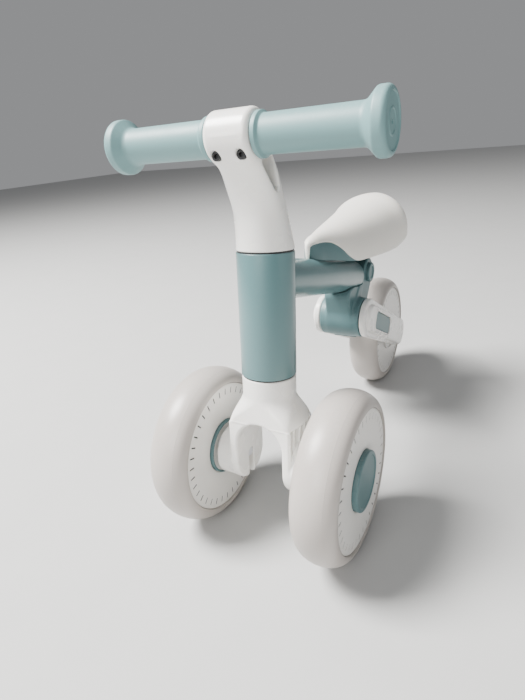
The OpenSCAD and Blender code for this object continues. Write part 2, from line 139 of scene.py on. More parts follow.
def add_mesh(
    name: str, points: Array, faces: Sequence[Sequence[int]], place: Matrix, sharp: float = SHARP
) -> Piece:
    """Adds a smooth-shaded mesh object.

    Args:
        name: The piece's name.
        points: Vertices in millimetres, one row each.
        faces: Vertex indices of each face.
        place: The placement in the bike's frame, in millimetres.
        sharp: Edges with a larger angle, in degrees, stay sharp.

    Returns:
        The new object, with its place in its mesh.
    """
    mesh = bpy.data.meshes.new(name)
    mesh.from_pydata(np.asarray(points, float).tolist(), [], [list(map(int, f)) for f in faces])
    mesh.transform(Matrix.Scale(MM, 4) @ place)
    if place.determinant() < 0:
        mesh.flip_normals()
    mesh.validate()
    mesh.shade_smooth()
    mesh.set_sharp_from_angle(angle=math.radians(sharp))
    obj = bpy.data.objects.new(name, mesh)
    bpy.context.scene.collection.objects.link(obj)
    return obj


def rounded(corners: Sequence[Triple], closed: bool = False) -> Profile:
    """Rounds the corners of an outline.

    Args:
        corners: The corners as (a, b, radius of the corner's arc).
        closed: Whether the outline joins up with its start.

    Returns:
        The outline's points.
    """
    points: Profile = []
    count = len(corners)
    for i, (a, b, radius) in enumerate(corners):
        end = i in (0, count - 1) and not closed
        if radius <= 0 or end:
            points.append((a, b))
            continue
        here = Vector((a, b))
        back = (Vector(corners[i - 1][:2]) - here).normalized()
        on = (Vector(corners[(i + 1) % count][:2]) - here).normalized()
        half = back.angle(on) / 2
        reach = radius / math.tan(half)
        centre = here + (back + on).normalized() * (radius / math.sin(half))
        start, stop = here + back * reach - centre, here + on * reach - centre
        turn = math.atan2(start.x * stop.y - start.y * stop.x, start.dot(stop))
        for k in range(ARC_STEPS + 1):
            spot = centre + Matrix.Rotation(turn * k / ARC_STEPS, 2) @ start
            points.append((spot.x, spot.y))
    return points


def lathe(
    name: str,
    profile: Profile,
    place: Matrix,
    turns: Sequence[float] | int = 128,
    relief: Pair | None = None,
    loop: bool = False,
) -> Piece:
    """Turns a profile around the local X axis.

    Args:
        name: The piece's name.
        profile: (radius, x) points in millimetres, with the outside on their left.
        place: The placement in the bike's frame.
        turns: The number of segments, or the angles themselves in radians.
        relief: Optional depth to cut along X, from the radii and the angles.
        loop: Whether the profile is a closed ring.

    Returns:
        The new object.
    """
    angles = np.arange(turns) * 2 * math.pi / turns if isinstance(turns, int) else np.asarray(turns)
    radii, along = np.array(profile).T
    rad, ang = np.meshgrid(radii, angles, indexing="ij")
    x = np.repeat(along[:, None], len(angles), axis=1)
    if relief is not None:
        x = x - relief(rad, ang)
    points = np.stack([x, rad * np.cos(ang), rad * np.sin(ang)], axis=-1).reshape(-1, 3)
    obj = add_mesh(name, points, grid_quads(len(radii), len(angles), loop), place)
    weld(obj)
    return obj


def grid_quads(rows: int, cols: int, loop: bool) -> Array:
    """Lists the quads of a grid of points whose columns join up.

    Args:
        rows: The number of rows.
        cols: The number of points in each row.
        loop: Whether the last row joins the first.

    Returns:
        Four vertex indices for each quad.
    """
    row = np.arange(rows if loop else rows - 1)[:, None]
    col = np.arange(cols)[None, :]
    after, wrap = (row + 1) % rows, (col + 1) % cols
    quads = np.stack([row * cols + col, row * cols + wrap, after * cols + wrap, after * cols + col], axis=-1)
    return quads.reshape(-1, 4)


def add_boxes(name: str, corners: Sequence[Sequence[float]], place: Matrix) -> Piece:
    """Adds a mesh of small six-sided blocks.

    Args:
        name: The piece's name.
        corners: Eight corners for each block, where the third coordinate changes fastest.
        place: The placement in the bike's frame.

    Returns:
        The new object.
    """
    sides = ((0, 1, 3, 2), (6, 7, 5, 4), (0, 4, 5, 1), (1, 5, 7, 3), (3, 7, 6, 2), (2, 6, 4, 0))
    faces = [[start + k for k in side] for start in range(0, len(corners), 8) for side in sides]
    obj = add_mesh(name, np.array(corners), faces, place)
    weld(obj)
    return obj


def weld(obj: Piece, reach: float = 1e-6) -> None:
    """Merges an object's coincident vertices and makes its normals face out.

    Args:
        obj: The mesh object.
        reach: The merging distance in metres.
    """
    work = bmesh.new()
    work.from_mesh(obj.data)
    bmesh.ops.remove_doubles(work, verts=work.verts, dist=reach)
    bmesh.ops.recalc_face_normals(work, faces=work.faces)
    work.to_mesh(obj.data)
    work.free()
    obj.data.set_sharp_from_angle(angle=math.radians(SHARP))


# ---- solids as distance fields, in millimetres ----


def blend_min(a: Array, b: Array, k: float) -> Array:
    """Joins two fields with a fillet of about k."""
    h = np.maximum(k - np.abs(a - b), 0) / k
    return np.minimum(a, b) - h * h * k / 4


def blend_max(a: Array, b: Array, k: float) -> Array:
    """Intersects two fields with a rounding of about k."""
    return -blend_min(-a, -b, k)


def slab(values: Array, low: float, high: float) -> Array:
    """Distance outside a range along one coordinate."""
    return np.abs(values - (low + high) / 2) - (high - low) / 2


def thick(outline: Array, across: Array, edge: float) -> Array:
    """Extrudes a flat field with rounded edges.

    Args:
        outline: The flat field.
        across: The distance outside the extrusion's slab.
        edge: The radius of the rounded edges.

    Returns:
        The field of the extrusion.
    """
    a, b = outline + edge, across + edge
    outside = np.hypot(np.maximum(a, 0), np.maximum(b, 0))
    return np.minimum(np.maximum(a, b), 0) + outside - edge


def disc_field(a: Array, b: Array, centre: Spot, radius: float) -> Array:
    """Distance to a circle in a plane."""
    return np.hypot(a - centre[0], b - centre[1]) - radius


def polygon_field(a: Array, b: Array, corners: Profile) -> Array:
    """Signed distance to a polygon in a plane.

    Args:
        a: First coordinates.
        b: Second coordinates.
        corners: The polygon's corners in order.

    Returns:
        The distances, negative inside.
    """
    near = np.full(a.shape, np.inf)
    inside = np.zeros(a.shape, bool)
    for (a0, b0), (a1, b1) in zip(corners, corners[1:] + corners[:1]):
        da, db = a1 - a0, b1 - b0
        along = np.clip(((a - a0) * da + (b - b0) * db) / (da * da + db * db), 0, 1)
        near = np.minimum(near, np.hypot(a - a0 - along * da, b - b0 - along * db))
        if db != 0:
            crosses = ((b0 > b) != (b1 > b)) & (a < da * (b - b0) / db + a0)
            inside ^= crosses
    return np.where(inside, -near, near)


def link_field(a: Array, b: Array, c0: Spot, r0: float, c1: Spot, r1: float) -> Array:
    """Distance to two circles joined by their common tangents.

    Args:
        a: First coordinates.
        b: Second coordinates.
        c0: Centre of the first circle.
        r0: Radius of the first circle.
        c1: Centre of the second circle.
        r1: Radius of the second circle.

    Returns:
        The distances, negative inside.
    """
    span = math.hypot(c1[0] - c0[0], c1[1] - c0[1])
    ua, ub = (c1[0] - c0[0]) / span, (c1[1] - c0[1]) / span
    s = (a - c0[0]) * ua + (b - c0[1]) * ub
    n = np.abs((b - c0[1]) * ua - (a - c0[0]) * ub)
    lean = (r0 - r1) / span
    up = math.sqrt(1 - lean * lean)
    k = s * up - n * lean
    side = n * up + s * lean - r0
    return np.where(k < 0, np.hypot(s, n) - r0, np.where(k > span * up, np.hypot(s - span, n) - r1, side))


def box_field(p: Array, centre: Sequence[float], half: Sequence[float], edge: float) -> Array:
    """Distance to a box with rounded edges.

    Args:
        p: Points, one row each.
        centre: The box's centre.
        half: Its half-sizes.
        edge: The radius of its edges.

    Returns:
        The distances, negative inside.
    """
    q = np.abs(p - np.array(centre)) - np.array(half) + edge
    return np.linalg.norm(np.maximum(q, 0), axis=-1) + np.minimum(q.max(axis=-1), 0) - edge


def rod_field(p: Array, radius: float, x0: float, x1: float, at: Spot, edge: float) -> Array:
    """Distance to a cylinder along X with rounded ends.

    Args:
        p: Points, one row each.
        radius: The cylinder's radius.
        x0: Where it starts along X.
        x1: Where it ends along X.
        at: Its axis, as (y, z).
        edge: The radius of its end edges.

    Returns:
        The distances, negative inside.
    """
    return thick(disc_field(p[..., 1], p[..., 2], at, radius), slab(p[..., 0], x0, x1), edge)


def smoothstep(values: Array, low: float, high: float) -> Array:
    """A smooth rise from 0 at low to 1 at high."""
    t = np.clip((values - low) / (high - low), 0, 1)
    return t * t * (3 - 2 * t)


def smooth_curve(knots: Knots, s: Array) -> Array:
    """Reads a smooth curve through knots, without overshoot.

    Args:
        knots: The (place, value) knots.
        s: The places to read.

    Returns:
        The values.
    """
    at, value = np.array(knots).T
    step = np.diff(value) / np.diff(at)
    tangent = np.zeros(len(at))
    both = step[:-1] * step[1:] > 0
    tangent[1:-1][both] = 2 * step[:-1][both] * step[1:][both] / (step[:-1] + step[1:])[both]
    tangent[0], tangent[-1] = step[0], step[-1]
    i = np.clip(np.searchsorted(at, s, side="right") - 1, 0, len(at) - 2)
    h = at[i + 1] - at[i]
    t = np.clip((s - at[i]) / h, 0, 1)
    return (
        value[i] * (1 + 2 * t) * (1 - t) ** 2
        + tangent[i] * h * t * (1 - t) ** 2
        + value[i + 1] * t * t * (3 - 2 * t)
        + tangent[i + 1] * h * t * t * (t - 1)
    )


def slope_of(solid: Field, points: Array, step: float = 0.05) -> Array:
    """Finds a field's gradient by central differences."""
    out = np.empty_like(points)
    for axis in range(3):
        shift = np.zeros(3)
        shift[axis] = step
        out[:, axis] = (solid(points + shift) - solid(points - shift)) / (2 * step)
    return out


def carve(
    name: str, solid: Field, low: Sequence[float], high: Sequence[float], cell: float, place: Matrix
) -> Piece:
    """Meshes a field's zero surface with surface nets.

    Args:
        name: The piece's name.
        solid: The field, negative inside.
        low: The lowest corner of the box that holds it.
        high: The highest corner.
        cell: The grid's cell size.
        place: The placement in the bike's frame.

    Returns:
        The new object, shaded with the field's own normals.
    """
    axes = [np.arange(a - 2 * cell, b + 2 * cell, cell) for a, b in zip(low, high)]
    grid = np.stack(np.meshgrid(*axes, indexing="ij"), axis=-1)
    value = solid(grid)
    inside = value < 0
    cells = tuple(n - 1 for n in value.shape)
    total = np.zeros(cells + (3,))
    count = np.zeros(cells)
    quads = []
    crossings = []
    for axis in range(3):
        head = [slice(None)] * 3
        tail = [slice(None)] * 3
        head[axis], tail[axis] = slice(None, -1), slice(1, None)
        a, b = value[tuple(head)], value[tuple(tail)]
        cross = inside[tuple(head)] != inside[tuple(tail)]
        at = np.argwhere(cross)
        t = (a[cross] / (a[cross] - b[cross]))[:, None]
        spot = np.stack([axes[i][at[:, i]] for i in range(3)], axis=-1)
        spot[:, axis] += t[:, 0] * cell
        u, v = (axis + 1) % 3, (axis + 2) % 3
        ring = []
        for du, dv in ((-1, -1), (0, -1), (0, 0), (-1, 0)):
            near = at.copy()
            near[:, u] += du
            near[:, v] += dv
            np.add.at(total, tuple(near.T), spot)
            np.add.at(count, tuple(near.T), 1)
            ring.append(near)
        crossings.append((ring, inside[tuple(head)][cross]))
    live = count > 0
    index = np.full(cells, -1)
    index[live] = np.arange(live.sum())
    points = total[live] / count[live][:, None]
    for ring, opens in crossings:
        quad = np.stack([index[tuple(r.T)] for r in ring], axis=-1)
        quad[~opens] = quad[~opens][:, ::-1]
        quads.append(quad)
    for _ in range(3):
        grad = slope_of(solid, points)
        size = np.maximum((grad * grad).sum(axis=1), 0.2)
        move = np.clip(solid(points) / size, -cell / 2, cell / 2)
        points = points - grad * move[:, None]
    normals = slope_of(solid, points)
    normals /= np.maximum(np.linalg.norm(normals, axis=1), 1e-6)[:, None]
    obj = add_mesh(name, points, np.concatenate(quads), place, sharp=180)
    turn = np.array(place.to_3x3().normalized())
    obj.data.normals_split_custom_set_from_vertices((normals @ turn.T).tolist())
    return obj


# ---- finishes ----


@dataclass(frozen=True)
class Effects:
    """The shader node groups that the finishes share."""

    mottle: Tree
    grain: Tree
    dust: Tree


def new_group(name: str, inputs: dict[str, float], outputs: Sequence[str]) -> Tree:
    """Makes an empty shader node group with its sockets.

    Args:
        name: The group's name.
        inputs: The number inputs and their default values.
        outputs: The number outputs.

    Returns:
        The group.
    """
    group = bpy.data.node_groups.new(name, "ShaderNodeTree")
    for label, value in inputs.items():
        socket = group.interface.new_socket(label, in_out="INPUT", socket_type="NodeSocketFloat")
        socket.default_value = value
    for label in outputs:
        group.interface.new_socket(label, in_out="OUTPUT", socket_type="NodeSocketFloat")
    group.nodes.new("NodeGroupInput")
    group.nodes.new("NodeGroupOutput")
    return group


def calc(tree: Tree, operation: str, *values: object) -> Socket:
    """Adds a Math node.

    Args:
        tree: The node tree.
        operation: The node's operation.
        values: Its inputs, as sockets or numbers.

    Returns:
        The node's output.
    """
    node = tree.nodes.new("ShaderNodeMath")
    node.operation = operation
    for socket, value in zip(node.inputs, values):
        if isinstance(value, Socket):
            tree.links.new(value, socket)
        else:
            socket.default_value = value
    return node.outputs[0]


def noise(tree: Tree, scale: object, detail: float, gain: float = 1.0) -> Socket:
    """Adds a noise texture in the piece's own coordinates.

    Args:
        tree: The node tree.
        scale: The noise's scale, as a socket or a number.
        detail: Its detail.
        gain: A factor on the scale.

    Returns:
        The noise's factor.
    """
    where = tree.nodes.new("ShaderNodeTexCoord")
    node = tree.nodes.new("ShaderNodeTexNoise")
    node.inputs["Detail"].default_value = detail
    tree.links.new(where.outputs["Object"], node.inputs["Vector"])
    if isinstance(scale, Socket):
        tree.links.new(calc(tree, "MULTIPLY", scale, gain), node.inputs["Scale"])
    else:
        node.inputs["Scale"].default_value = scale * gain
    return node.outputs["Fac"]


def make_effects() -> Effects:
    """Builds the shared node groups once."""
    mottle = new_group("surface_mottle", {"Scale": 20.0, "Contrast": 1.0}, ["Mask"])
    begin, end = mottle.nodes["Group Input"], mottle.nodes["Group Output"]
    wide = noise(mottle, begin.outputs["Scale"], 3.0)
    centred = calc(mottle, "SUBTRACT", wide, 0.5)
    spread = calc(mottle, "MULTIPLY", centred, begin.outputs["Contrast"])
    mottle.links.new(calc(mottle, "ADD", spread, 0.5), end.inputs["Mask"])

    settings = {"Scale": 900.0, "Roughness": 0.4, "Swing": 0.1}
    grain = new_group("moulded_grain", settings, ["Height", "Roughness"])
    begin, end = grain.nodes["Group Input"], grain.nodes["Group Output"]
    fine = noise(grain, begin.outputs["Scale"], 2.0)
    broad = noise(grain, begin.outputs["Scale"], 2.0, gain=0.05)
    swing = calc(grain, "MULTIPLY", calc(grain, "SUBTRACT", broad, 0.5), begin.outputs["Swing"])
    grain.links.new(fine, end.inputs["Height"])
    grain.links.new(calc(grain, "ADD", begin.outputs["Roughness"], swing), end.inputs["Roughness"])

    dust = new_group("settled_dust", {"Amount": 0.2}, ["Mask"])
    begin, end = dust.nodes["Group Input"], dust.nodes["Group Output"]
    place = dust.nodes.new("ShaderNodeNewGeometry")
    split = dust.nodes.new("ShaderNodeSeparateXYZ")
    dust.links.new(place.outputs["Normal"], split.inputs[0])
    upward = calc(dust, "MAXIMUM", split.outputs["Z"], 0.0)
    speck = calc(dust, "POWER", noise(dust, 450.0, 4.0), 3.0)
    amount = calc(dust, "MULTIPLY", calc(dust, "MULTIPLY", upward, speck), begin.outputs["Amount"])
    dust.links.new(amount, end.inputs["Mask"])
    return Effects(mottle, grain, dust)


@dataclass(frozen=True)
class Finish:
    """A moulded, painted or metal finish, with its colours in linear light."""

    name: str
    slot: str
    colour: Triple
    tint: Triple
    roughness: float
    grain_scale: float = 900.0
    grain_depth: float = 0.02
    swing: float = 0.08
    mottle_scale: float = 18.0
    mottle_contrast: float = 2.0
    metallic: float = 0.0
    coat: float = 0.0
    dust: float = 0.25
    sheen_through: float = 0.0

    def material(self, effects: Effects) -> bpy.types.Material:
        """Builds the finish's material, or finds it if it is already built.

        Args:
            effects: The shared node groups.

        Returns:
            The material.
        """
        if self.name in bpy.data.materials:
            return bpy.data.materials[self.name]
        made = bpy.data.materials.new(self.name)
        made.use_nodes = True
        tree = made.node_tree
        shader = tree.nodes["Principled BSDF"]
        mottle = self._group(tree, effects.mottle, Scale=self.mottle_scale, Contrast=self.mottle_contrast)
        grain = self._group(
            tree, effects.grain, Scale=self.grain_scale, Roughness=self.roughness, Swing=self.swing
        )
        dust = self._group(tree, effects.dust, Amount=self.dust)
        base = self._mix(tree, mottle.outputs["Mask"], self.colour, self.tint)
        dusty = self._mix(tree, dust.outputs["Mask"], base, DUST_COLOUR)
        tree.links.new(dusty, shader.inputs["Base Color"])
        tree.links.new(grain.outputs["Roughness"], shader.inputs["Roughness"])
        bump = tree.nodes.new("ShaderNodeBump")
        bump.inputs["Strength"].default_value = 0.35
        bump.inputs["Distance"].default_value = self.grain_depth * MM
        tree.links.new(grain.outputs["Height"], bump.inputs["Height"])
        tree.links.new(bump.outputs["Normal"], shader.inputs["Normal"])
        shader.inputs["Metallic"].default_value = self.metallic
        shader.inputs["Coat Weight"].default_value = self.coat
        shader.inputs["Coat Roughness"].default_value = 0.18
        shader.inputs["Subsurface Weight"].default_value = self.sheen_through
        shader.inputs["Subsurface Radius"].default_value = (0.004, 0.003, 0.002)
        shader.inputs["Subsurface Scale"].default_value = 0.3
        return made

    @staticmethod
    def _group(tree: Tree, group: Tree, **values: float) -> bpy.types.Node:
        """Places a shared group in a material with its own values."""
        node = tree.nodes.new("ShaderNodeGroup")
        node.node_tree = group
        for label, value in values.items():
            node.inputs[label].default_value = value
        return node

    @staticmethod
    def _mix(tree: Tree, factor: Socket, a: object, b: object) -> Socket:
        """Mixes two colours, given as sockets or as linear values."""
        node = tree.nodes.new("ShaderNodeMix")
        node.data_type = "RGBA"
        tree.links.new(factor, node.inputs[0])
        for socket, value in zip((node.inputs[6], node.inputs[7]), (a, b)):
            if isinstance(value, Socket):
                tree.links.new(value, socket)
            else:
                socket.default_value = (*value, 1.0)
        return node.outputs[2]


class Look(Enum):
    """Every finish on the bike."""

    TEAL_PAINT = Finish(
        "teal_satin_paint", "teal_paint", (0.078, 0.166, 0.175), (0.088, 0.181, 0.190), 0.34,
        grain_depth=0.012, coat=0.35,
    )
    TEAL_PLASTIC = Finish(
        "teal_moulded_plastic", "teal_plastic", (0.072, 0.148, 0.157), (0.083, 0.165, 0.175), 0.42,
        grain_depth=0.03,
    )
    TEAL_GRIP = Finish(
        "teal_soft_grip", "teal_grip", (0.135, 0.255, 0.262), (0.150, 0.273, 0.280), 0.50,
        grain_scale=1300, grain_depth=0.04,
    )
    WHITE_PLASTIC = Finish(
        "white_gloss_plastic", "white_plastic", (0.80, 0.785, 0.755), (0.83, 0.818, 0.79), 0.27,
        grain_depth=0.006, sheen_through=0.08,
    )
    DISC_PLASTIC = Finish(
        "white_disc_plastic", "white_plastic", (0.74, 0.72, 0.685), (0.77, 0.752, 0.72), 0.36,
        grain_depth=0.01, sheen_through=0.06,
    )
    SEAT = Finish(
        "seat_moulded_plastic", "seat_cover", (0.80, 0.775, 0.715), (0.83, 0.805, 0.75), 0.40,
        grain_scale=1500, grain_depth=0.025, sheen_through=0.08,
    )
    TYRE = Finish(
        "tyre_grey_rubber", "tyre", (0.400, 0.365, 0.338), (0.435, 0.400, 0.372), 0.36,
        grain_scale=700, grain_depth=0.03, dust=0.35, swing=0.12,
    )
    STEEL = Finish(
        "zinc_plated_steel", "steel", (0.55, 0.56, 0.58), (0.63, 0.64, 0.66), 0.30,
        grain_scale=2200, grain_depth=0.01, metallic=1.0, dust=0.0,
    )
    # Black nylon parts; the same finish fills the disc marks as painted shade for the shadow in the grooves.
    BLACK = Finish(
        "black_nylon_and_groove_shade", "black_nylon", (0.012, 0.012, 0.013), (0.02, 0.02, 0.022), 0.5,
        grain_depth=0.03, dust=0.05,
    )


@dataclass
class Workshop:
    """Dresses pieces, puts them on their bodies and reports them."""

    effects: Effects
    count: int = 0

    def fit(self, obj: Piece, look: Look, body: str, *nodes: str) -> Piece:
        """Finishes one piece.

        Args:
            obj: The piece.
            look: Its finish.
            body: The CAD body that it rides on.
            nodes: The CAD nodes that it stands for.

        Returns:
            The piece.
        """
        finish: Finish = look.value
        obj.data.materials.clear()
        obj.data.materials.append(finish.material(self.effects))
        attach(obj, body)
        if nodes:
            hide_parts(*nodes)
        self.count += 1
        LOG.info("%s: %d faces, %s, on %s", obj.name, len(obj.data.polygons), finish.name, body)
        return obj

    def dress(self, look: Look, *nodes: str) -> None:
        """Gives CAD nodes that stay in view their finish.

        Args:
            look: The finish.
            nodes: The nodes.
        """
        for name in nodes:
            obj = frame["nodes"][name]
            obj.data.materials.clear()
            obj.data.materials.append(look.value.material(self.effects))
            LOG.info("%s: CAD node, %s", name, look.value.name)


# ---- wheels ----


@dataclass
class Wheel:
    """One wheel: tyre, two hard discs and the trim on its hub."""

    body: str
    centre: Vector
    outward: Side
    radius: float = 75.0
    width: float = 39.0
    tread: float = 12.4
    disc_radius: float = 61.4
    disc_offset: float = 18.3
    cap_radius: float = 26.3
    marks: int = 36
    mark_inner: float = 52.0
    mark_outer: float = 57.6
    mark_half: float = 0.6
    mark_depth: float = 1.3

    @property
    def tag(self) -> str:
        """The end of this wheel's piece names."""
        return self.body.removeprefix("wheel_")

    @property
    def place(self) -> Matrix:
        """The placement of the wheel, with its outer side towards +X."""
        return Matrix.Translation(self.centre) @ self.outward.flip

    def build(self, shop: Workshop) -> None:
        """Builds and dresses the wheel's tyre; the subclasses add the trim.

        Args:
            shop: The workshop that finishes pieces.
        """
        shop.fit(self.tyre(), Look.TYRE, self.body, f"tyre_{self.tag}")

    def tyre(self) -> Piece:
        """Turns the tyre, with two faint mould lines and a bead at each disc."""
        half = self.width / 2
        centre = self.radius - self.tread
        profile: Profile = []
        lines = (math.radians(34), math.radians(-34))
        for degrees in np.arange(92, -92.5, -1.0):
            a = math.radians(degrees)
            line = max(math.exp(-(((a - at) / 0.012) ** 2)) for at in lines)
            swell = 0.12 * line
            profile.append((centre + (self.tread + swell) * math.cos(a), (half + swell) * math.sin(a)))
        lip, depth = self.disc_radius + 0.25, self.disc_offset - 1.2
        inner = [(lip + 0.5, -self.disc_offset - 0.5), (lip, -self.disc_offset), (lip, -depth),
                 (lip - 3, -depth + 2), (lip - 3, depth - 2),
                 (lip, depth), (lip, self.disc_offset), (lip + 0.5, self.disc_offset + 0.5)]
        return lathe(f"tyre_skin_{self.tag}", profile + inner, self.place, turns=180, loop=True)

    def mark_angles(self) -> list[float]:
        """The angles of the disc's segments, close together at each mark."""
        pitch = 2 * math.pi / self.marks
        middle = (self.mark_inner + self.mark_outer) / 2
        edge = self.mark_half / middle
        steps = [-2.6, -1.5, -1.1, -0.8, 0.0, 0.8, 1.1, 1.5, 2.6]
        fill = [pitch * f for f in (0.3, 0.5, 0.7)]
        return [pitch * i + a for i in range(self.marks) for a in [s * edge for s in steps] + fill]

    def mark_relief(self, radii: Array, angles: Array) -> Array:
        """How deep the face is cut at each point by the radial marks.

        Args:
            radii: Radii of the points.
            angles: Angles of the points.

        Returns:
            The depths in millimetres.
        """
        pitch = 2 * math.pi / self.marks
        aside = np.abs((angles + pitch / 2) % pitch - pitch / 2) * radii
        across = 1 - smoothstep(aside, self.mark_half * 0.75, self.mark_half * 1.2)
        along = smoothstep(radii, self.mark_inner - 0.4, self.mark_inner + 0.2)
        along = along * (1 - smoothstep(radii, self.mark_outer - 0.2, self.mark_outer + 0.4))
        return self.mark_depth * across * along

    def disc(self, name: str, place: Matrix) -> Piece:
        """Turns one hard disc with its engraved radial marks.

        Args:
            name: The piece's name.
            place: Its placement, with its face towards +X.

        Returns:
            The disc.
        """
        face, edge, recess = self.disc_offset, self.disc_radius, self.cap_radius
        rings = [self.mark_outer + d for d in (1.2, 0.6, 0.4, 0.1, -0.2)] + [
            self.mark_inner + d for d in (3, 0.5, 0.2, -0.1, -0.4, -0.8)
        ]
        profile: Profile = [
            (edge - 3, face - 8), (edge, face - 8), (edge, face - 1.1),
            (edge - 0.3, face - 0.35), (edge - 1, face),
        ]
        profile += [(r, face) for r in rings]
        profile += [
            (48, face - 0.05), (44, face - 0.35), (36, face - 0.6), (recess + 1.6, face - 0.6),
            (recess + 0.5, face - 0.9), (recess + 0.4, face - 2.2), (recess - 2, face - 2.4),
            (7.2, face - 2.4), (7.2, face - 8),
        ]
        return lathe(name, profile, place, turns=self.mark_angles(), relief=self.mark_relief, loop=True)

    def groove_shade_blocks(self, name: str, place: Matrix) -> Piece:
        """Builds dark blocks in a disc's engraved marks, as painted shade for the shadow inside the grooves.

        Args:
            name: The piece's name.
            place: The disc's placement.

        Returns:
            The painted shade blocks.
        """
        face = self.disc_offset - 0.3
        corners = []
        for i in range(self.marks):
            a = 2 * math.pi * i / self.marks
            out, side = np.array((0, math.cos(a), math.sin(a))), np.array((0, -math.sin(a), math.cos(a)))
            for depth in (face - 1.2, face):
                for r in (self.mark_inner, self.mark_outer):
                    for aside in (-self.mark_half, self.mark_half):
                        corners.append(np.array((depth, 0, 0)) + out * r + side * aside)
        return add_boxes(name, corners, place)

    def boss(self, name: str, place: Matrix) -> Piece:
        """Turns the white boss in the middle of an inner hub ring."""
        face = self.disc_offset
        profile = rounded([
            (24.0, face - 2.2, 0), (24.0, face + 0.9, 0.5), (17.2, face + 0.9, 0.4), (16.4, face + 2.3, 0.7),
            (8.4, face + 2.3, 0.6), (8.4, face - 2.2, 0),
        ])
        return lathe(name, profile, place, turns=128, loop=True)

    def ring(self, name: str, place: Matrix) -> Piece:
        """Turns the teal ring around an inner boss."""
        face, r = self.disc_offset, self.cap_radius
        profile = rounded([(24.2, face - 2.2, 0), (r - 0.4, face - 2.2, 0), (r - 0.4, face + 2.0, 0.5),
                           (24.2, face + 2.0, 0.4), (24.2, face - 2.2, 0)])
        return lathe(name, profile, place, turns=128, loop=True)


@dataclass
class FrontWheel(Wheel):
    """A front wheel, with a round cap outside and a hub ring inside."""

    def build(self, shop: Workshop) -> None:
        """Builds and dresses the whole wheel.

        Args:
            shop: The workshop that finishes pieces.
        """
        super().build(shop)
        inner = self.place @ MIRROR
        outer_disc = self.disc(f"disc_outer_face_{self.tag}", self.place)
        inner_disc = self.disc(f"disc_inner_face_{self.tag}", inner)
        shop.fit(outer_disc, Look.DISC_PLASTIC, self.body, f"disc_outer_{self.tag}")
        shop.fit(inner_disc, Look.DISC_PLASTIC, self.body, f"disc_inner_{self.tag}")
        # The dark blocks in both discs' marks are painted shade for the shadow inside the grooves.
        shop.fit(self.groove_shade_blocks(f"disc_outer_groove_shade_{self.tag}", self.place), Look.BLACK, self.body)
        shop.fit(self.groove_shade_blocks(f"disc_inner_groove_shade_{self.tag}", inner), Look.BLACK, self.body)
        shop.fit(self.cap(), Look.TEAL_PLASTIC, self.body, f"hub_cap_{self.tag}")
        ring = self.ring(f"hub_ring_band_{self.tag}", inner)
        shop.fit(ring, Look.TEAL_PLASTIC, self.body, f"hub_ring_{self.tag}")
        shop.fit(self.boss(f"hub_boss_{self.tag}", inner), Look.WHITE_PLASTIC, self.body)
        shop.dress(Look.STEEL, f"bearings_{self.tag}")

    def cap(self) -> Piece:
        """Turns the round hub cap with its raised edge."""
        face, r = self.disc_offset, self.cap_radius
        top = face + 4.1
        profile = rounded([
            (r - 2, face - 2.2, 0), (r, face - 2.2, 0.1), (r, top - 0.2, 1.3), (r - 3.4, top, 0.6),
            (r - 4.0, top - 0.7, 0.5), (12, top - 0.4, 8), (0, top - 0.3, 0),
        ])
        return lathe(f"hub_cap_dome_{self.tag}", profile, self.place, turns=128)


@dataclass
class RearWheel(Wheel):
    """The rear wheel, with a hub ring on both sides."""

    def build(self, shop: Workshop) -> None:
        """Builds and dresses the whole wheel.

        Args:
            shop: The workshop that finishes pieces.
        """
        super().build(shop)
        for side in Side:
            place = Matrix.Translation(self.centre) @ side.flip
            disc = self.disc(f"disc_face_{side.label}_rear", place)
            shop.fit(disc, Look.DISC_PLASTIC, self.body, f"disc_{side.label}_rear")
            # The dark blocks in the disc's marks are painted shade for the shadow inside the grooves.
            shop.fit(self.groove_shade_blocks(f"disc_groove_shade_{side.label}_rear", place), Look.BLACK, self.body)
            shop.fit(self.ring(f"hub_band_{side.label}_rear", place), Look.DISC_PLASTIC, self.body)
            shop.fit(self.boss(f"hub_boss_{side.label}_rear", place), Look.WHITE_PLASTIC, self.body)
        shop.dress(Look.STEEL, "bearings_rear")


# ---- frame ----


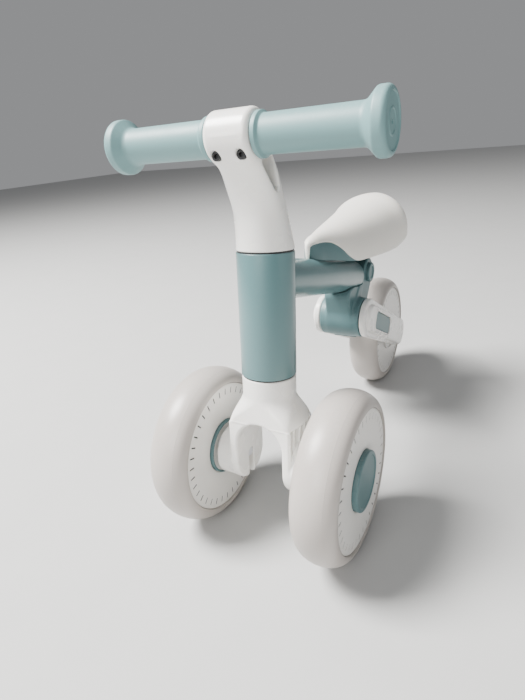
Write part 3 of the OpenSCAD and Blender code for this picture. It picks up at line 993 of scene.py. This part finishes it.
@dataclass
class FrameTubes:
    """The head tube and the main tube, with the bead that joins them."""

    head_radius: float = 23.8
    head_low: float = 84.0
    head_length: float = 103.5
    wall: float = 2.5
    tube_radius: float = 18.0
    slope: float = 14.5
    tube_start: Spot = (-90.0, 223.5)
    tube_front: float = -45.0
    tube_end: float = 146.0
    bead: float = 1.5

    @property
    def tube_place(self) -> Matrix:
        """The placement of the main tube, with +X along it."""
        origin = Vector((0, *self.tube_start))
        return Matrix.Translation(origin) @ Matrix.Rotation(math.radians(-90 - self.slope), 4, "X") @ X_TO_Z

    def build(self, shop: Workshop) -> None:
        """Builds and dresses both tubes.

        Args:
            shop: The workshop that finishes pieces.
        """
        shop.fit(self.head_tube(), Look.TEAL_PAINT, "frame", "head_tube")
        shop.fit(self.main_tube(), Look.TEAL_PAINT, "frame", "main_tube")
        shop.fit(self.joint_bead(), Look.TEAL_PAINT, "frame")
        shop.dress(Look.BLACK, "headset_bush_upper", "headset_bush_lower")
        shop.dress(Look.STEEL, "steering_stop_pin")

    def head_tube(self) -> Piece:
        """Turns the head tube with softened ends."""
        r, inner = self.head_radius, self.head_radius - self.wall
        low, high = self.head_low, self.head_low + self.head_length
        profile = rounded([(inner, low, 0.5), (r, low, 0.7), (r, high, 0.7), (inner, high, 0.5)], closed=True)
        return lathe("head_tube_shell", profile, STEER @ X_TO_Z, turns=160, loop=True)

    def main_tube(self) -> Piece:
        """Turns the main tube from inside the head tube's wall to its closed rear end."""
        r = self.tube_radius
        start = self.tube_front + 2
        profile = rounded([(r - 2, start, 0), (r, start, 0), (r, self.tube_end, 1.0), (0, self.tube_end, 0)])
        return lathe("main_tube_shell", profile, self.tube_place, turns=128)

    def joint_bead(self) -> Piece:
        """Sweeps a fillet bead where the main tube meets the head tube."""
        to_head = STEER.inverted() @ self.tube_place
        points, rows, sides = [], 96, 10
        for i in range(rows):
            a = 2 * math.pi * i / rows
            out = Vector((0, math.cos(a), math.sin(a)))
            low, high = 0.0, 60.0
            for _ in range(30):
                mid = (low + high) / 2
                p = to_head @ (out * self.tube_radius + Vector((mid + self.tube_front, 0, 0)))
                low, high = (mid, high) if math.hypot(p.x, p.y) < self.head_radius else (low, mid)
            spot = out * self.tube_radius + Vector((low + self.tube_front, 0, 0))
            for j in range(sides):
                b = 2 * math.pi * j / sides
                around = out * math.cos(b) + Vector((math.sin(b), 0, 0))
                points.append(spot + around * self.bead)
        faces = grid_quads(rows, sides, True)
        obj = add_mesh("tube_joint_bead", np.array([tuple(p) for p in points]), faces, self.tube_place)
        weld(obj)
        return obj


@dataclass
class RearBracket:
    """The bracket under the seat, with its fold knuckle, cradle and seat lobe."""

    knuckle_radius: float = 23.0
    half_length: float = 23.3
    lobe: Spot = (75.0, 186.0)
    lobe_radius: float = 17.0
    lobe_half: float = 16.0
    cradle: Spot = (16.0, 173.0)
    tongue_half: float = 6.1
    cap_radius: float = 11.5
    tubes: FrameTubes = field(default_factory=FrameTubes)

    def field(self, p: Array) -> Array:
        """The bracket's shape.

        Args:
            p: Points in the bike's frame.

        Returns:
            The distances, negative inside.
        """
        x, y, z = p[..., 0], p[..., 1], p[..., 2]
        knuckle = (FOLD_POS.y, FOLD_POS.z)
        body = rod_field(p, self.knuckle_radius, -self.half_length, self.half_length, knuckle, 1.4)
        to_lobe = link_field(y, z, knuckle, self.knuckle_radius - 1, self.lobe, self.lobe_radius)
        body = blend_min(body, thick(to_lobe, slab(x, -self.lobe_half, self.lobe_half), 2.0), 3)
        to_tube = link_field(y, z, knuckle, self.knuckle_radius - 3, self.cradle, 9)
        web = [(self.cradle[0], self.cradle[1] + 9), (self.lobe[0] - self.lobe_radius, self.lobe[1]),
               (knuckle[0], knuckle[1]), self.cradle]
        saddle = np.minimum(to_tube, polygon_field(y, z, web))
        body = blend_min(body, thick(saddle, slab(x, -self.lobe_half + 1, self.lobe_half - 1), 2.5), 3)
        lip_centre = (0, knuckle[0] + 5, knuckle[1] - self.knuckle_radius)
        body = blend_min(body, box_field(p, lip_centre, (14, 7, 3), 1.2), 1.5)
        start, slope = self.tubes.tube_start, math.radians(self.tubes.slope)
        along = (y - start[0]) * math.cos(slope) - (z - start[1]) * math.sin(slope)
        off = np.hypot(x, (y - start[0]) * math.sin(slope) + (z - start[1]) * math.cos(slope))
        tube = np.maximum(off - self.tubes.tube_radius - 0.35, along - self.tubes.tube_end - 0.5)
        body = blend_max(body, -tube, 1.0)
        slot = box_field(p, (0, self.lobe[0] + 7, self.lobe[1] + 7), (self.tongue_half, 20, 20), 1)
        return blend_max(body, -slot, 1.0)

    def build(self, shop: Workshop) -> None:
        """Builds and dresses the bracket and its fittings.

        Args:
            shop: The workshop that finishes pieces.
        """
        low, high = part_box("rear_bracket")
        body = carve("bracket_body", self.field, low / MM, high / MM, 1.0, BIKE)
        shop.fit(body, Look.TEAL_PLASTIC, "frame", "rear_bracket")
        for side in Side:
            cap = self.bolt_cap(side)
            nodes = ("seat_bolt_caps",) if side is Side.LEFT else ()
            shop.fit(cap, Look.TEAL_PLASTIC, "frame", *nodes)
        shop.dress(Look.STEEL, "bracket_screws", "seat_bolt")
        shop.dress(Look.BLACK, "knuckle_bushes")

    def bolt_cap(self, side: Side) -> Piece:
        """Turns the round cap over one end of the seat bolt."""
        x0, r = self.lobe_half, self.cap_radius
        profile = rounded([(r - 1, x0 - 0.5, 0), (r, x0 - 0.5, 0), (r, x0 + 4, 1.2), (7.4, x0 + 4, 0.6),
                           (6.8, x0 + 3, 0.5), (0, x0 + 3, 0)])
        place = Matrix.Translation((0, *self.lobe)) @ side.flip
        return lathe(f"seat_bolt_cap_{side.label}", profile, place, turns=96)


# ---- seat ----


@dataclass
class Seat:
    """The hard seat: a domed cover over a base that shows at the nose."""

    front: float = -66.0
    back: float = 162.9
    widths: Knots = (
        (0, 8.7), (0.08, 11.6), (0.28, 26.2), (0.5, 36.8), (0.72, 45.7), (0.88, 51.0), (1, 40.8)
    )
    crown: Knots = ((0, 254.0), (0.33, 258.9), (0.67, 265.7), (1, 274.8))
    rim: Knots = ((0, 235.4), (0.16, 226.8), (0.33, 218.0), (0.67, 213.3), (1, 237.1))
    cover_edge: Knots = (
        (0, 235.4), (0.0012, 236.0), (0.0035, 244.0), (0.009, 248.4), (0.022, 249.8), (0.06, 249.4),
        (0.13, 246.6), (0.185, 239.0), (0.245, 226.5), (0.30, 219.4), (0.33, 218.0),
    )
    wall: float = 2.6
    stations: int = 120
    across: int = 56

    def sections(self, inset: float, edge: Pair) -> Array:
        """Works out the seat's cross-sections.

        Args:
            inset: How far inside the outer form they lie.
            edge: Height of the lower edge, from the stations and the rim's heights.

        Returns:
            Points by station and by place across, from the left edge to the right.
        """
        s = (1 - np.cos(np.linspace(0, math.pi, self.stations))) / 2
        nose = np.sqrt(np.clip(1 - np.clip((0.07 - s) / 0.07, 0, 1) ** 2, 0, 1))
        tail = np.sqrt(np.clip(1 - np.clip((s - 0.78) / 0.22, 0, 1) ** 2, 0, 1))
        half = np.maximum(smooth_curve(self.widths, s) * nose * tail, 0.02)
        shrink = (self.back - self.front - 2 * inset) / (self.back - self.front)
        y = self.front + inset + (self.back - self.front) * shrink * s
        rim = smooth_curve(self.rim, s)
        rise = smooth_curve(self.crown, s) - rim
        top = rim + rise * (0.45 + 0.55 * np.sqrt(nose * tail)) - inset
        base = rim + 4
        low = edge(s, rim)
        half_in = np.maximum(half - inset, 0.02)
        tall = np.maximum(top - base, 1)
        lift = np.clip((low - base) / tall, 0, 0.8)
        start = np.arcsin(lift**1.1)
        u = np.linspace(0, 1, self.across)
        angle = start[:, None] + (math.pi - 2 * start)[:, None] * u[None, :]
        cos = np.cos(angle)
        x = half_in[:, None] * np.sign(cos) * np.abs(cos) ** (2 / 2.1)
        z = base[:, None] + tall[:, None] * np.abs(np.sin(angle)) ** (1 / 1.1)
        skirt = np.minimum(low, base)
        points = np.stack([x, np.repeat(y[:, None], self.across, 1), z], axis=-1)
        ends = []
        for column in (0, -1):
            foot = points[:, column].copy()
            foot[:, 2] = np.where(low < base, skirt, foot[:, 2] - 0.01)
            ends.append(foot[:, None])
        return np.concatenate([ends[0], points, ends[1]], axis=1)

    def shell(self, name: str, inset: float, wall: float, edge: Pair) -> Piece:
        """Builds an open-bottomed shell with a rounded lower edge.

        Args:
            name: The piece's name.
            inset: How far its outside lies inside the outer form.
            wall: Its thickness.
            edge: Height of the lower edge, from the stations and the rim's heights.

        Returns:
            The shell.
        """
        outer = self.sections(inset, edge)
        inner = self.sections(inset + wall, edge)
        steps = 6
        left, right = [], []
        for k in range(1, steps):
            a = math.pi * k / steps
            for ends, column in ((right, -1), (left, 0)):
                mid = (outer[:, column] + inner[:, column]) / 2
                reach = outer[:, column] - mid
                drop = np.linalg.norm(reach[:, :2], axis=1)
                spot = mid + reach * math.cos(a)
                spot[:, 2] -= drop * math.sin(a)
                ends.append(spot[:, None])
        ring = np.concatenate([outer, *right, inner[:, ::-1], *left[::-1]], axis=1)
        rows, cols = ring.shape[:2]
        obj = add_mesh(name, ring.reshape(-1, 3), grid_quads(rows, cols, False), BIKE)
        weld(obj, 2e-5)
        return obj

    def cover_low(self, s: Array, rim: Array) -> Array:
        """Height of the cover's lower edge, which rises at the nose."""
        return np.where(s < self.cover_edge[-1][0], smooth_curve(self.cover_edge, s), rim)

    def base_low(self, s: Array, rim: Array) -> Array:
        """Height of the base's lower edge, just inside the cover behind the nose."""
        return rim + 1.2 * smoothstep(s, 0.3, 0.36)

    def underside(self) -> Field:
        """The tongue under the seat, with its eye, post and foot, as a field."""
        bracket = RearBracket()
        half = bracket.tongue_half - 0.3

        def solid(p: Array) -> Array:
            """The tongue with its round eye, its post and its wide foot."""
            y, z = bracket.lobe
            eye = rod_field(p, 11, -half, half, bracket.lobe, 1)
            post = box_field(p, (0, y, z + 33), (half, 11, 33), 1.2)
            foot = box_field(p, (0, y, z + 62), (half + 8, 22, 6), 2.0)
            return blend_min(blend_min(eye, post, 1.5), foot, 10)

        return solid

    def build(self, shop: Workshop) -> None:
        """Builds and dresses the seat.

        Args:
            shop: The workshop that finishes pieces.
        """
        cover = self.shell("seat_cover_shell", 0.0, self.wall, self.cover_low)
        shop.fit(cover, Look.SEAT, "frame", "seat_cover")
        base = self.shell("seat_base_shell", self.wall * 0.55, 3.0, self.base_low)
        shop.fit(base, Look.TEAL_PLASTIC, "frame", "seat_base")
        tongue = carve("seat_tongue", self.underside(), (-16, 50, 173), (16, 100, 256), 1.0, BIKE)
        shop.fit(tongue, Look.TEAL_PLASTIC, "frame")
        shop.dress(Look.STEEL, "seat_screws")


# ---- steering ----


@dataclass
class Fork:
    """The fork below the head tube, in the steering frame."""

    collar_radius: float = 23.5
    collar_top: float = 82.7
    flare_top: float = 66.0
    skirt: float = 41.0
    shoulder: float = 33.0
    flare_power: float = 1.4
    corner: float = 3.5
    crowning: float = 0.0075
    arch: float = 20.0
    inner: float = 22.0
    outer: float = 30.0
    recess: float = 25.3
    boss_end: float = 45.0
    boss_radius: float = 23.5
    slot_half: float = 4.3
    slot_depth: float = 7.0
    ribs: tuple[float, ...] = (-14.5, -5.0, 4.5, 14.0)
    rib_half: float = 0.8

    def half_width(self, y: Array, t: Array) -> Array:
        """Half the skirt's width, from the collar (t = 0) to its lower edge (t = 1)."""
        flare = self.shoulder - self.collar_radius - self.crowning * y * y
        return self.collar_radius + flare * t**self.flare_power

    def crown_field(self, x: Array, y: Array, z: Array) -> Array:
        """The collar and the skirt that flares out over the legs.

        Args:
            x: Distances from the middle plane.
            y: Distances behind the steering axis.
            z: Heights along the steering axis.

        Returns:
            The distances, negative inside.
        """
        t = np.clip((self.flare_top - z) / (self.flare_top - self.skirt), 0, 1.05)
        half = self.half_width(y, t)
        deep = self.collar_radius + 0.4 * np.minimum(t, 1)
        corner = deep + (self.corner - deep) * smoothstep(t, 0, 0.97)
        a, b = x - half + corner, np.abs(y) - deep + corner
        section = np.hypot(np.maximum(a, 0), np.maximum(b, 0)) + np.minimum(np.maximum(a, b), 0) - corner
        body = blend_max(section, self.skirt - z, 0.8)
        return blend_max(body, z - self.collar_top, 1.2)

    def leg_field(self, x: Array, y: Array, z: Array) -> Array:
        """Both legs as one block, with rounded lower ends.

        Args:
            x: Distances from the middle plane.
            y: Distances behind the steering axis.
            z: Heights along the steering axis.

        Returns:
            The distances, negative inside.
        """
        reach = self.boss_radius + 0.4
        side = np.where(z < 0, np.hypot(y, z), np.abs(y)) - reach
        side = np.maximum(side, z - self.skirt - 0.5)
        return thick(side, x - self.outer, 2.4)

    def field(self, p: Array) -> Array:
        """The fork's shape.

        Args:
            p: Points in the steering frame.

        Returns:
            The distances, negative inside.
        """
        x, y, z = np.abs(p[..., 0]), p[..., 1], p[..., 2]
        body = blend_min(self.crown_field(x, y, z), self.leg_field(x, y, z), 1.0)
        pocket = np.maximum(np.abs(y) - 19.5, self.boss_radius + 1.2 - np.hypot(y, z))
        pocket = blend_max(pocket, z - self.skirt, 1.5)
        body = blend_max(body, -np.maximum(pocket, self.recess - x), 1.0)
        boss = thick(np.hypot(y, z) - self.boss_radius, slab(x, self.outer - 6, self.boss_end), 1.5)
        body = blend_min(body, boss, 1.2)
        arch = np.where(z > self.arch, np.hypot(x, z - self.arch), x) - self.inner
        body = blend_max(body, -arch, 3.0)
        drop = np.where(z < 0, np.abs(y), np.hypot(y, z)) - self.slot_half
        return blend_max(body, -np.maximum(drop, x - self.inner - self.slot_depth), 0.6)

    def rib_mesh(self) -> Piece:
        """Builds the thin ribs in the pockets above the bosses."""
        corners = []
        for sign in (-1, 1):
            for y in self.ribs:
                top = self.shoulder - 1.0 - self.crowning * y * y
                for low_x, high_x in ((self.recess - 0.6, self.recess - 0.6), (self.outer - 0.4, top)):
                    for side in (-self.rib_half, self.rib_half):
                        corners += [(sign * low_x, y + side, 8), (sign * high_x, y + side, self.skirt + 1)]
        obj = add_boxes("fork_pocket_ribs", corners, STEER)
        edge = obj.modifiers.new("edge", "BEVEL")
        edge.width, edge.segments = 0.3 * MM, 2
        return obj

    def build(self, shop: Workshop) -> None:
        """Builds and dresses the fork.

        Args:
            shop: The workshop that finishes pieces.
        """
        reach = self.boss_end
        body = carve("fork_body", self.field, (-reach, -25, -25), (reach, 25, self.collar_top), 0.9, STEER)
        shop.fit(body, Look.WHITE_PLASTIC, "steering", "fork")
        shop.fit(self.rib_mesh(), Look.WHITE_PLASTIC, "steering")
        shop.dress(Look.STEEL, "steerer_tube", "steerer_bolt", "steerer_nut")
        shop.dress(Look.STEEL, "axle_front_left", "axle_front_right")
        shop.dress(Look.BLACK, "wheel_spacers")


@dataclass
class Stem:
    """The stem and its handlebar clamp, in the steering frame."""

    bar: Spot = (-35.6, 269.0)
    clamp_radius: float = 17.8
    clamp_half: float = 17.7
    clamp_edge: float = 4.0
    bar_radius: float = 9.5
    foot: float = 188.8
    front: Knots = (
        (180, -23.5), (189, -23.5), (214, -23.6), (223, -25.0), (235, -29.5), (246, -36.0),
        (254, -43.6), (268, -52),
    )
    back: Knots = (
        (180, 23.5), (189, 23.5), (199, 20.9), (211, 15.4), (226, 6.8), (235, 1.0), (246, -3.6),
        (256, -9.0), (268, -17.5),
    )
    half: Knots = (
        (180, 23.5), (189, 23.5), (205, 22.4), (220, 21.0), (235, 20.3), (246, 19.2), (256, 17.6), (268, 15.0)
    )
    squareness: Knots = ((180, 2), (199, 2), (218, 2.3), (235, 3.0), (246, 3.5), (258, 4.5), (268, 4.5))
    notch: Knots = ((-32.5, 252.6), (-16.5, 256), (-13.2, 236), (-15.0, 233.2), (-18, 234.5))
    screw_x: float = 10.0
    screw_drop: float = 12.4
    screw_hole: float = 3.6

    def field(self, p: Array) -> Array:
        """The stem's shape.

        Args:
            p: Points in the steering frame.

        Returns:
            The distances, negative inside.
        """
        x, y, z = np.abs(p[..., 0]), p[..., 1], p[..., 2]
        front, back = smooth_curve(self.front, z), smooth_curve(self.back, z)
        half, power = smooth_curve(self.half, z), smooth_curve(self.squareness, z)
        middle, deep = (front + back) / 2, (back - front) / 2
        ratio = (x / half) ** power + (np.abs(y - middle) / deep) ** power
        body = (ratio ** (1 / power) - 1) * np.minimum(half, deep)
        body = blend_max(body, self.foot - z, 1.0)
        body = blend_max(body, z - self.bar[1] + 1, 2.0)
        clamp = rod_field(p, self.clamp_radius, -self.clamp_half, self.clamp_half, self.bar, self.clamp_edge)
        body = blend_min(body, clamp, 3.0)
        notch = polygon_field(y, z, list(self.notch))
        body = blend_max(body, -(notch - 0.6), 1.6)
        bore = np.hypot(y - self.bar[0], z - self.bar[1]) - self.bar_radius - 0.1
        body = np.maximum(body, -bore)
        head = np.hypot(x - self.screw_x, z - self.bar[1] + self.screw_drop)
        pocket = np.maximum(head - self.screw_hole, y - self.bar[0] + 9.0)
        return blend_max(body, -pocket, 0.8)

    def build(self, shop: Workshop) -> None:
        """Builds and dresses the stem.

        Args:
            shop: The workshop that finishes pieces.
        """
        low, high = (-24, -55, self.foot), (24, 25, 288)
        body = carve("stem_body", self.field, low, high, 0.8, STEER)
        shop.fit(body, Look.WHITE_PLASTIC, "steering", "stem")
        shop.dress(Look.BLACK, "clamp_screws")
        shop.dress(Look.STEEL, "handlebar_tube")


@dataclass
class Grip:
    """One handlebar grip, drawn around the bar towards +X."""

    side: Side
    radius: float = 13.0
    inner_radius: float = 15.1
    flange_radius: float = 20.0
    start: float = 18.3
    end: float = 107.7
    bar: Spot = Stem.bar

    def profile(self) -> Profile:
        """The grip's profile, from its inner end to the middle of its outer face."""
        end, r = self.end, self.flange_radius
        face = end - 0.9
        return rounded([
            (9.7, self.start, 0), (self.inner_radius, self.start, 0.8),
            (self.inner_radius, self.start + 3.4, 0.9), (self.radius, self.start + 5.2, 1.5),
            (self.radius, end - 15, 6), (r, end - 8.2, 2.6), (r, end, 3.4), (16.4, end, 0.5),
            (16.0, face, 0.3), (8.2, face, 0.3), (7.8, end - 0.4, 0.3), (7.0, end - 0.4, 0.3),
            (6.6, face, 0.3), (1.6, face, 0.2), (1.2, end - 2.5, 0.1), (0, end - 2.5, 0),
        ])

    def build(self, shop: Workshop) -> None:
        """Builds and dresses the grip.

        Args:
            shop: The workshop that finishes pieces.
        """
        place = STEER @ Matrix.Translation((0, *self.bar)) @ self.side.flip
        grip = lathe(f"grip_sleeve_{self.side.label}", self.profile(), place, turns=128)
        shop.fit(grip, Look.TEAL_GRIP, "steering", f"grip_{self.side.label}")


# ---- rear fork ----


@dataclass
class RearArm:
    """One arm of the folding rear fork and its release button, in the arm's frame."""

    side: Side
    inner: float = 23.7
    plate: float = 31.0
    beam: float = 35.0
    knuckle_radius: float = 22.5
    end_radius: float = 20.0
    beam_radius: float = 15.5
    button_at: float = 45.0
    button_length: float = 70.0
    button_height: float = 20.6
    button_face: float = 34.7
    rim: float = 2.3

    def pad(self, p: Array, grow: float) -> Array:
        """The flat field of the button's outline, grown by a margin."""
        half = np.array([self.button_length / 2 + grow, self.button_height / 2 + grow])
        q = np.stack([np.abs(p[..., 1] - self.button_at), np.abs(p[..., 2])], axis=-1) - half + 5.5 + grow / 2
        return np.linalg.norm(np.maximum(q, 0), axis=-1) + np.minimum(q.max(axis=-1), 0) - 5.5 - grow / 2

    def arm_field(self, p: Array) -> Array:
        """The arm's shape.

        Args:
            p: Points in the arm's frame.

        Returns:
            The distances, negative inside.
        """
        x, s, n = p[..., 0], p[..., 1], p[..., 2]
        plate = link_field(s, n, (0, 0), self.knuckle_radius, (ARM_LENGTH, 0), self.end_radius)
        body = thick(plate, slab(x, self.inner, self.plate), 2.2)
        ridge = link_field(s, n, (0, 0), self.beam_radius, (ARM_LENGTH, 0), self.end_radius - 1.5)
        body = blend_min(body, thick(ridge, slab(x, self.plate - 4, self.beam), 2.6), 1.6)
        border = thick(self.pad(p, self.rim), slab(x, self.beam - 4, self.beam + 0.9), 0.9)
        body = blend_min(body, border, 1.2)
        pocket = np.maximum(self.pad(p, 0.3), self.plate - 3.4 - x)
        return blend_max(body, -pocket, 0.7)

    def button_field(self, p: Array) -> Array:
        """The release button's pad and plunger."""
        pad = thick(self.pad(p, 0.0), slab(p[..., 0], self.plate - 0.4, self.button_face), 1.0)
        plunger = rod_field(p, 3, self.inner - 2.4, self.plate + 0.5, (15, 0), 0.4)
        return np.minimum(pad, plunger)

    def build(self, shop: Workshop) -> None:
        """Builds and dresses the arm and its button.

        Args:
            shop: The workshop that finishes pieces.
        """
        place = self.side.flip @ ARM
        label = self.side.label
        low, high = (self.inner, -23, -23), (self.beam + 1, ARM_LENGTH + 20, 23)
        arm = carve(f"arm_body_{label}", self.arm_field, low, high, 0.65, place)
        shop.fit(arm, Look.WHITE_PLASTIC, "rear_fork", f"arm_{label}")
        low = (self.inner - 2.5, self.button_at - 36, -10)
        high = (self.button_face, self.button_at + 36, 10)
        button = carve(f"button_pad_{label}", self.button_field, low, high, 0.55, place)
        shop.fit(button, Look.TEAL_PLASTIC, f"button_{label}", f"release_button_{label}")
        shop.dress(Look.STEEL, f"button_spring_{label}")


# ---- studio ----


@dataclass
class Studio:
    """The floor, the lights and the camera."""

    eye: Triple = (188.5, -479.4, 342.6)
    heading: float = 30.93
    pitch: float = -23.58
    roll: float = -5.39
    lens: float = 24.605
    floor_size: float = 14.0

    def camera(self) -> None:
        """Sets up the camera at the viewer's place."""
        a, b, c = (math.radians(v) for v in (self.heading, self.pitch, self.roll))
        ahead = Vector((-math.sin(a) * math.cos(b), math.cos(a) * math.cos(b), math.sin(b)))
        right = Vector((math.cos(a), math.sin(a), 0))
        up = right.cross(ahead)
        right, up = right * math.cos(c) + up * math.sin(c), up * math.cos(c) - right * math.sin(c)
        data = bpy.data.cameras.new("viewer")
        data.lens, data.sensor_width, data.sensor_fit = self.lens, 36.0, "AUTO"
        data.clip_start, data.clip_end = 0.01, 50.0
        obj = bpy.data.objects.new("viewer", data)
        turn = Matrix((right, up, -ahead)).transposed().to_4x4()
        obj.matrix_world = Matrix.Translation(Vector(self.eye) * MM) @ turn
        bpy.context.scene.collection.objects.link(obj)
        bpy.context.scene.camera = obj

    def light(self, name: str, at: Triple, size: float, power: float, warmth: Triple) -> None:
        """Adds one soft light aimed at the bike.

        Args:
            name: The light's name.
            at: Its place in metres.
            size: Its side in metres.
            power: Its power in watts.
            warmth: Its colour.
        """
        data = bpy.data.lights.new(name, "AREA")
        data.size, data.energy, data.color = size, power, warmth
        obj = bpy.data.objects.new(name, data)
        obj.location = at
        obj.rotation_euler = (Vector((0, 0, 0.18)) - Vector(at)).to_track_quat("-Z", "Y").to_euler()
        bpy.context.scene.collection.objects.link(obj)

    def floor(self, effects: Effects) -> None:
        """Adds the plain pale floor."""
        half = self.floor_size / 2 / MM
        corners = np.array([(-half, -half, 0), (half, -half, 0), (half, half, 0), (-half, half, 0)])
        obj = add_mesh("studio_floor", corners, [(0, 1, 2, 3)], BIKE)
        finish = Finish(
            "pale_floor", "", (0.46, 0.46, 0.455), (0.475, 0.475, 0.468), 0.85, grain_depth=0.0, dust=0.0
        )
        obj.data.materials.append(finish.material(effects))

    def build(self, effects: Effects) -> None:
        """Sets up the whole studio.

        Args:
            effects: The shared node groups.
        """
        self.camera()
        self.floor(effects)
        self.light("key_softbox", (-1.4, -0.8, 2.3), 1.0, 330, (1.0, 0.99, 0.97))
        self.light("front_softbox", (0.1, -2.0, 1.1), 1.0, 26, (1.0, 0.99, 0.97))
        self.light("fill_softbox", (1.8, 0.1, 0.8), 1.4, 5, (0.96, 0.98, 1.0))
        world = bpy.data.worlds.new("studio_air")
        world.use_nodes = True
        sky = world.node_tree.nodes["Background"]
        sky.inputs["Color"].default_value = (0.80, 0.81, 0.83, 1)
        sky.inputs["Strength"].default_value = 0.36
        bpy.context.scene.world = world


def main() -> None:
    """Builds the bike's sub-assemblies in order, then the studio around them."""
    logging.basicConfig(level=logging.INFO, format="%(name)s %(message)s")
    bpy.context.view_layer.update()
    effects = make_effects()
    shop = Workshop(effects)
    assemblies = [
        FrontWheel("wheel_front_left", LEFT_POS, Side.LEFT),
        FrontWheel("wheel_front_right", RIGHT_POS, Side.RIGHT),
        RearWheel("wheel_rear", REAR_POS, Side.RIGHT),
        FrameTubes(),
        RearBracket(),
        Seat(),
        Fork(),
        Stem(),
        Grip(Side.LEFT),
        Grip(Side.RIGHT),
        RearArm(Side.LEFT),
        RearArm(Side.RIGHT),
    ]
    for assembly in assemblies:
        assembly.build(shop)
    shop.dress(Look.STEEL, "pivot_axle", "rear_axle")
    shop.dress(Look.BLACK, "rear_spacers")
    Studio().build(effects)
    LOG.info("%d pieces built", shop.count)


if __name__ == "__main__":
    main()
